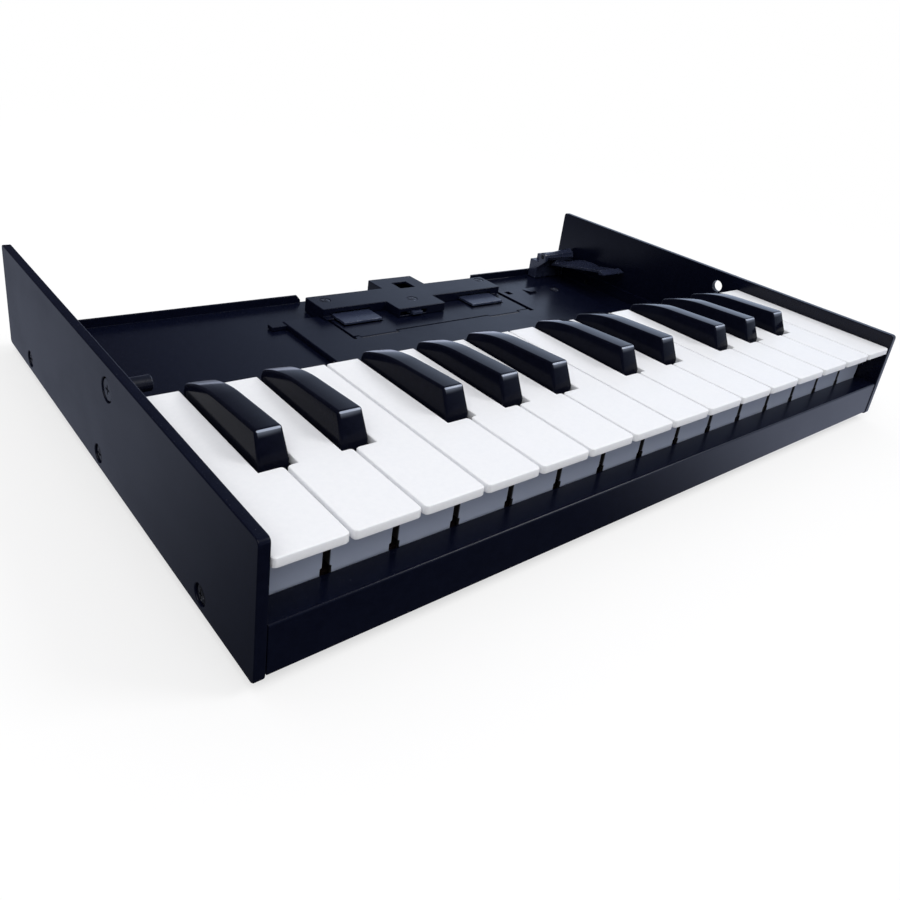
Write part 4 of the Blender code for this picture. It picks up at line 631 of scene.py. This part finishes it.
def close_form(tree, given, out, geometry):
    """End a geometry tree with real geometry in the piece's own finish."""
    real = tree.nodes.new("GeometryNodeRealizeInstances")
    finish = tree.nodes.new("GeometryNodeSetMaterial")
    feed(tree, real.inputs[0], geometry)
    feed(tree, finish.inputs["Geometry"], real.outputs[0])
    feed(tree, finish.inputs["Material"], given["Finish"])
    feed(tree, out["Geometry"], finish.outputs[0])
    return tree


def shaped(name, tree, points, values):
    """A piece that a geometry tree makes from points and named values, not yet made plain."""
    mesh = bpy.data.meshes.new(name)
    mesh.from_pydata(points, [], [])
    piece = scene_object(name, mesh)
    modifier = piece.modifiers.new("form", "NODES")
    modifier.node_group = tree
    for item in tree.interface.items_tree:
        if item.in_out == "INPUT" and item.name in values:
            modifier[item.identifier] = values[item.name]
    return piece


def point_place(tree):
    return split(tree, tree.nodes.new("GeometryNodeInputPosition").outputs[0])


def placed_points(tree, geometry, label, vector):
    """The geometry with each point at a new Position, or moved by an Offset."""
    node = tree.nodes.new("GeometryNodeSetPosition")
    feed(tree, node.inputs["Geometry"], geometry)
    feed(tree, node.inputs[label], vector)
    return node.outputs[0]


def moved_up(tree, geometry, height):
    node = tree.nodes.new("GeometryNodeTransform")
    feed(tree, node.inputs["Geometry"], geometry)
    feed(tree, node.inputs["Translation"], joined(tree, z=height))
    return node.outputs[0]


def fanned_cylinder(tree, sides, rings, radius, height):
    """A cylinder whose ends have rings of faces, so that they can be domed or dished."""
    node = add_node(tree, "GeometryNodeMeshCylinder", fill_type="TRIANGLE_FAN")
    node.inputs["Vertices"].default_value = sides
    node.inputs["Fill Segments"].default_value = rings
    feed(tree, node.inputs["Radius"], radius)
    feed(tree, node.inputs["Depth"], height)
    return node.outputs["Mesh"]


def square_off_axis(tree, place):
    """The square of a point's distance from the upright axis."""
    calc = functools.partial(maths, tree)
    return calc("MULTIPLY_ADD", place["X"], place["X"], calc("MULTIPLY", place["Y"], place["Y"]))


def at_points(tree, given, geometry):
    """One copy of the geometry at each of the piece's points."""
    copies = tree.nodes.new("GeometryNodeInstanceOnPoints")
    feed(tree, copies.inputs["Points"], given["Geometry"])
    feed(tree, copies.inputs["Instance"], geometry)
    return copies


def crown_height(tree, size, top_y):
    """The height of a black key's top: a straight fall, and then a curve down to the back."""
    calc = functools.partial(maths, tree)
    run = calc("SUBTRACT", size["Crown End"], size["Top Front"])
    fall = calc("DIVIDE", calc("SUBTRACT", size["Crown Height"], size["Top Height"]), run)
    from_front = calc("SUBTRACT", top_y, size["Top Front"])
    straight = calc("MULTIPLY_ADD", from_front, fall, size["Top Height"])
    tail = calc("SUBTRACT", size["Back"], size["Crown End"])
    part = calc("DIVIDE", calc("SUBTRACT", top_y, size["Crown End"]), tail)
    part = calc("MAXIMUM", part, 0.0)
    drop = calc("SUBTRACT", size["Back Height"], size["Crown Height"])
    drop = calc("SUBTRACT", drop, calc("MULTIPLY", fall, tail))
    return calc("MULTIPLY_ADD", calc("MULTIPLY", part, part), drop, straight)


def make_black_key_form():
    """The rule of a black key: tapered sides, a leaning front and a crowned top."""
    tree, size, out = new_form("black_key_form", BLACK_KEY_SIZES)
    calc = functools.partial(maths, tree)
    cube = tree.nodes.new("GeometryNodeMeshCube")
    cube.inputs["Vertices Y"].default_value = BLACK_STATIONS
    cube.inputs["Vertices Z"].default_value = BLACK_LEVELS
    place = point_place(tree)
    along = calc("ADD", place["Y"], HALF)
    up = calc("MULTIPLY", calc("ADD", place["Z"], HALF), BLACK_LEVELS - 1)
    lower = calc("MINIMUM", up, 1.0)
    upper = calc("MAXIMUM", calc("SUBTRACT", up, 1.0), 0.0)
    foot_y = blended(tree, along, size["Front"], size["Back"])
    top_y = blended(tree, along, size["Top Front"], size["Back"])
    width = blended(tree, upper, size["Foot Width"], size["Top Width"])
    x = calc("MULTIPLY_ADD", place["X"], width, size["Centre"])
    y = blended(tree, upper, foot_y, top_y)
    side_z = blended(tree, lower, size["Bottom"], size["Shoulder"])
    z = blended(tree, upper, side_z, crown_height(tree, size, top_y))
    moved = placed_points(tree, cube.outputs["Mesh"], "Position", joined(tree, x, y, z))
    return close_form(tree, size, out, moved)


def make_black_key(node, form):
    """One black key's smooth form, in its node's box."""
    low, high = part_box(node)
    width = high.x - low.x
    top_front = low.y + BLACK_FRONT_LEAN
    sizes = ((low.x + high.x) / 2, width, width - BLACK_TOP_NARROWING, low.y, top_front,
             top_front + BLACK_CROWN_LENGTH, high.y, low.z, BLACK_SHOULDER, high.z,
             high.z - BLACK_CROWN_DROP, high.z - BLACK_BACK_DROP)
    values = dict(zip(BLACK_KEY_SIZES, sizes), Finish=FINISHES["black_keys"])
    piece = shaped(f"{node}_cap", form, [], values)
    add_bevel(piece, *BLACK_EDGE)
    finished(piece)
    piece.data.shade_smooth()
    dress(piece, "black_keys", body_of(node), node)


def make_black_keys():
    form = make_black_key_form()
    for node in nodes_named("black_key"):
        make_black_key(node, form)


def crowned_head(tree, size):
    """A screw's head, whose upper face falls away towards its rim."""
    calc = functools.partial(maths, tree)
    head = fanned_cylinder(tree, SCREW_SIDES, SCREW_RINGS, size["Head Radius"], size["Head Height"])
    place = point_place(tree)
    rim = calc("MULTIPLY", size["Head Radius"], size["Head Radius"])
    share = calc("DIVIDE", square_off_axis(tree, place), rim)
    fall = calc("MULTIPLY", calc("MULTIPLY", share, share), size["Crown"])
    on_top = calc("GREATER_THAN", place["Z"], 0.0)
    shift = joined(tree, z=calc("MULTIPLY", calc("MULTIPLY", fall, on_top), -1.0))
    return placed_points(tree, head, "Offset", shift)


def screw_shank(tree, size):
    shank = tree.nodes.new("GeometryNodeMeshCylinder")
    shank.inputs["Vertices"].default_value = SCREW_SIDES // 2
    feed(tree, shank.inputs["Radius"], size["Shank Radius"])
    feed(tree, shank.inputs["Depth"], size["Shank Length"])
    return moved_up(tree, shank.outputs["Mesh"], maths(tree, "MULTIPLY", size["Shank Length"], -HALF))


def slot_cutter(tree, size, length, width):
    """One arm of the cross, at the top of the head."""
    cutter = tree.nodes.new("GeometryNodeMeshCube")
    reach = joined(tree, length, width, maths(tree, "MULTIPLY", size["Depth"], 2.0))
    feed(tree, cutter.inputs["Size"], reach)
    return moved_up(tree, cutter.outputs["Mesh"], maths(tree, "MULTIPLY", size["Head Height"], HALF))


def chance_turn(tree, given):
    """A turn that faces one way, with an angle of its own for each point."""
    face = add_node(tree, "FunctionNodeAlignRotationToVector", axis="Z")
    feed(tree, face.inputs["Vector"], given["Facing"])
    chance = add_node(tree, "FunctionNodeRandomValue", data_type="FLOAT")
    low, high = [socket for socket in chance.inputs if socket.type == "VALUE"][:2]
    low.default_value = 0.0
    high.default_value = math.pi
    feed(tree, chance.inputs["Seed"], given["Seed"])
    spin = add_node(tree, "FunctionNodeAxisAngleToRotation")
    spin.inputs["Axis"].default_value = UP
    feed(tree, spin.inputs["Angle"], next(socket for socket in chance.outputs if socket.type == "VALUE"))
    both = add_node(tree, "FunctionNodeRotateRotation", rotation_space="LOCAL")
    feed(tree, both.inputs["Rotation"], face.outputs[0])
    feed(tree, both.inputs["Rotate By"], spin.outputs[0])
    return both.outputs[0]


def make_screw_form():
    """Cross-head screws: a crowned head with its cross cut in and a shank, one at each point."""
    tree, size, out = new_form("cross_head_screws", SCREW_SIZES, ("Facing", "NodeSocketVector"),
                               ("Seed", "NodeSocketInt"))
    whole = add_node(tree, "GeometryNodeMeshBoolean", operation="UNION", solver="EXACT")
    tree.links.new(crowned_head(tree, size), whole.inputs["Mesh 2"])
    tree.links.new(screw_shank(tree, size), whole.inputs["Mesh 2"])
    cut = add_node(tree, "GeometryNodeMeshBoolean", operation="DIFFERENCE", solver="EXACT")
    tree.links.new(whole.outputs["Mesh"], cut.inputs["Mesh 1"])
    for length, width in ((size["Arm"], size["Slot"]), (size["Slot"], size["Arm"])):
        tree.links.new(slot_cutter(tree, size, length, width), cut.inputs["Mesh 2"])
    copies = at_points(tree, size, cut.outputs["Mesh"])
    feed(tree, copies.inputs["Rotation"], chance_turn(tree, size))
    return close_form(tree, size, out, copies.outputs[0])


def make_screws(form, name, points, facing, body, sizes, *nodes):
    """A set of screws of one size on one body."""
    values = dict(zip(SCREW_SIZES, sizes))
    values.update({"Facing": facing, "Seed": SCREW_SEEDS[name], "Finish": FINISHES["black_screws"]})
    piece = finished(shaped(name, form, points, values))
    piece.data.shade_smooth()
    piece.data.set_sharp_from_angle(angle=SCREW_SHARP)
    dress(piece, "black_screws", body, *nodes)


def make_side_screws(form):
    """The six screws in the side panels' seats."""
    sink = SIDE_SCREW[HEAD_HEIGHT] / 2
    for side, facing in (("left", -1.0), ("right", 1.0)):
        nodes = [f"{side}_{place}_screw" for place in ("front", "middle", "rear")]
        points = []
        for node in nodes:
            low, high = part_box(node)
            face = high.x if facing > 0 else low.x
            points.append((face - facing * sink, (low.y + high.y) / 2, (low.z + high.z) / 2))
        make_screws(form, f"{side}_panel_screws", points, (facing, 0.0, 0.0), "case", SIDE_SCREW, *nodes)


def make_small_screws(form):
    """The stand's bracket screws, the platform's and the ones that hold the chassis from below."""
    height = BRACKET_SEAT - SMALL_SCREW[HEAD_HEIGHT] / 2
    points = [(x, y, height) for x, y in BRACKET_SCREW_PLACES]
    make_screws(form, "bracket_screws", points, UP, "tilt_stand", SMALL_SCREW)
    height = PLATFORM_TOP + FLANGE_SCREW[HEAD_HEIGHT] / 2
    points = [(x, y, height) for x, y in PLATFORM_SCREW_PLACES]
    make_screws(form, "platform_screws", points, UP, "case", FLANGE_SCREW)
    height = CHASSIS_BOTTOM - FLANGE_SCREW[HEAD_HEIGHT] / 2
    points = [(x, y, height) for y in UNDER_SCREW_YS for x in UNDER_SCREW_XS]
    make_screws(form, "chassis_screws", points, DOWN, "case", FLANGE_SCREW)


def make_foot_form():
    """A turned rubber foot with a rounded rim and a dished sole, one at each point."""
    tree, size, out = new_form("turned_feet", FOOT_SIZES)
    calc = functools.partial(maths, tree)
    body = fanned_cylinder(tree, FOOT_SIDES, FOOT_RINGS, size["Radius"], size["Height"])
    place = point_place(tree)
    share = calc("DIVIDE", calc("SQRT", square_off_axis(tree, place)), size["Radius"])
    rim = calc("MULTIPLY", stretched(tree, share, *FOOT_RIM_SHARE), size["Rim"])
    dish = calc("MULTIPLY", stretched(tree, share, *FOOT_DISH_SHARE), size["Dish"])
    below = calc("LESS_THAN", place["Z"], 0.0)
    shift = joined(tree, z=calc("MULTIPLY", calc("ADD", rim, dish), below))
    turned = placed_points(tree, body, "Offset", shift)
    return close_form(tree, size, out, at_points(tree, size, turned).outputs[0])


def make_feet():
    nodes = [f"{end}_{side}_foot" for end in ("front", "rear") for side in ("left", "right")]
    boxes = [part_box(node) for node in nodes]
    low, high = boxes[0]
    sizes = ((high.x - low.x) / 2, high.z - low.z, FOOT_RIM, FOOT_DISH)
    values = dict(zip(FOOT_SIZES, sizes), Finish=FINISHES["rubber"])
    points = [(low + high) / 2 for low, high in boxes]
    piece = finished(shaped("rubber_feet", make_foot_form(), points, values))
    piece.data.shade_smooth()
    piece.data.set_sharp_from_angle(angle=FOOT_SHARP)
    dress(piece, "rubber", "case", *nodes)


def add_camera():
    """The photograph's camera: its place, its tilt and the off-centre frame."""
    ahead = Vector((math.sin(CAMERA_AZIMUTH) * math.cos(CAMERA_DIP),
                    math.cos(CAMERA_AZIMUTH) * math.cos(CAMERA_DIP), -math.sin(CAMERA_DIP)))
    level = ahead.cross(Vector(UP)).normalized()
    upright = level.cross(ahead)
    right = level * math.cos(CAMERA_ROLL) + upright * math.sin(CAMERA_ROLL)
    up = upright * math.cos(CAMERA_ROLL) - level * math.sin(CAMERA_ROLL)
    data = bpy.data.cameras.new("photo_camera")
    data.sensor_width = SENSOR
    data.lens = FOCAL_PIXELS * SENSOR / PHOTO_SIDE
    data.shift_x = (PHOTO_SIDE / 2 - PRINCIPAL_X) / PHOTO_SIDE
    data.shift_y = (PRINCIPAL_Y - PHOTO_SIDE / 2) / PHOTO_SIDE
    data.clip_start = CLIP_START
    data.clip_end = CLIP_END
    camera = scene_object("photo_camera", data)
    turn = Matrix((right, up, -ahead)).transposed().to_4x4()
    camera.matrix_world = Matrix.Translation(CAMERA_PLACE) @ turn
    bpy.context.scene.camera = camera


def add_lamps():
    """Wide soft lamps, far off, each with the direction it shines from."""
    for name, (source, strength, spread) in LAMPS.items():
        data = bpy.data.lights.new(name, "SUN")
        data.energy = strength
        data.angle = spread
        lamp = scene_object(name, data)
        lamp.rotation_euler = Vector(source).to_track_quat("Z", "Y").to_euler()


def ray_kinds(tree):
    """Two masks: what the camera sees, also through glass, and what gloss shows."""
    path = tree.nodes.new("ShaderNodeLightPath").outputs
    straight = maths(tree, "MAXIMUM", path["Is Camera Ray"], path["Is Transmission Ray"])
    return straight, path["Is Glossy Ray"]


def add_world():
    """A white backdrop, a dim blue room in gloss, and a plain soft light for everything else."""
    world = bpy.data.worlds.new("studio")
    bpy.context.scene.world = world
    world.use_nodes = True
    tree = world.node_tree
    tree.nodes.clear()
    straight, gloss = ray_kinds(tree)
    direction = split(tree, tree.nodes.new("ShaderNodeTexCoord").outputs["Generated"])
    light = tinted(tree, stretched(tree, direction["Z"], 0.0, ROOM_HIGH_FROM), ROOM_LOW, ROOM_HIGH)
    side = stretched(tree, direction["X"], *ROOM_GLOSS_SIDE)
    shine = tinted(tree, side, ROOM_GLOSS_DARK, ROOM_GLOSS_LIGHT)
    background = tree.nodes.new("ShaderNodeBackground")
    color = tinted(tree, straight, tinted(tree, gloss, light, shine), WHITE)
    feed(tree, background.inputs["Color"], color)
    out = tree.nodes.new("ShaderNodeOutputWorld")
    feed(tree, out.inputs["Surface"], background.outputs[0])


def floor_glow(tree, gloss, place):
    """White light from the floor, which gloss shows as bluish and dark in front of the left end."""
    spot = split(tree, place)
    least = stretched(tree, spot["Y"], *FLOOR_GLOSS_Y, FLOOR_NEAR_GLOSS, FLOOR_FAR_GLOSS)
    shine = blended(tree, stretched(tree, spot["X"], *FLOOR_GLOSS_X), least, 1.0)
    white = tree.nodes.new("ShaderNodeEmission")
    feed(tree, white.inputs["Color"], tinted(tree, gloss, WHITE, FLOOR_GLOSS))
    feed(tree, white.inputs["Strength"], blended(tree, gloss, 1.0, shine))
    return white.outputs[0]


def make_floor_material():
    """Pale floor that keeps the shadow near the object and fades into the white backdrop."""
    material = bpy.data.materials.new("studio_floor")
    material.use_nodes = True
    tree = material.node_tree
    shader = tree.nodes["Principled BSDF"]
    shader.inputs["Roughness"].default_value = 1.0
    shader.inputs["Specular IOR Level"].default_value = 0.0
    straight, gloss = ray_kinds(tree)
    feed(tree, shader.inputs["Base Color"], tinted(tree, straight, FLOOR_BOUNCE, FLOOR_PAINT))
    place = object_place(tree)
    away = add_node(tree, "ShaderNodeVectorMath", operation="LENGTH")
    feed(tree, away.inputs[0], place)
    fade = stretched(tree, away.outputs["Value"], *FLOOR_FADE, FLOOR_LEAST_FADE, 1.0)
    mix = tree.nodes.new("ShaderNodeMixShader")
    feed(tree, mix.inputs[0], maths(tree, "MAXIMUM", maths(tree, "MULTIPLY", straight, fade), gloss))
    feed(tree, mix.inputs[1], shader.outputs[0])
    feed(tree, mix.inputs[2], floor_glow(tree, gloss, place))
    feed(tree, tree.nodes["Material Output"].inputs["Surface"], mix.outputs[0])
    return material


def add_floor():
    shape = bmesh.new()
    bmesh.ops.create_grid(shape, x_segments=1, y_segments=1, size=FLOOR_HALF)
    mesh = bpy.data.meshes.new("floor")
    shape.to_mesh(mesh)
    shape.free()
    mesh.materials.append(make_floor_material())
    floor = scene_object("floor", mesh)
    floor.location.z = -FLOOR_DROP


finish_nodes()
make_shells()
make_black_keys()
screw_form = make_screw_form()
make_side_screws(screw_form)
make_small_screws(screw_form)
make_feet()
add_camera()
add_world()
add_lamps()
add_floor()

bpy.context.scene.view_settings.view_transform = "Standard"
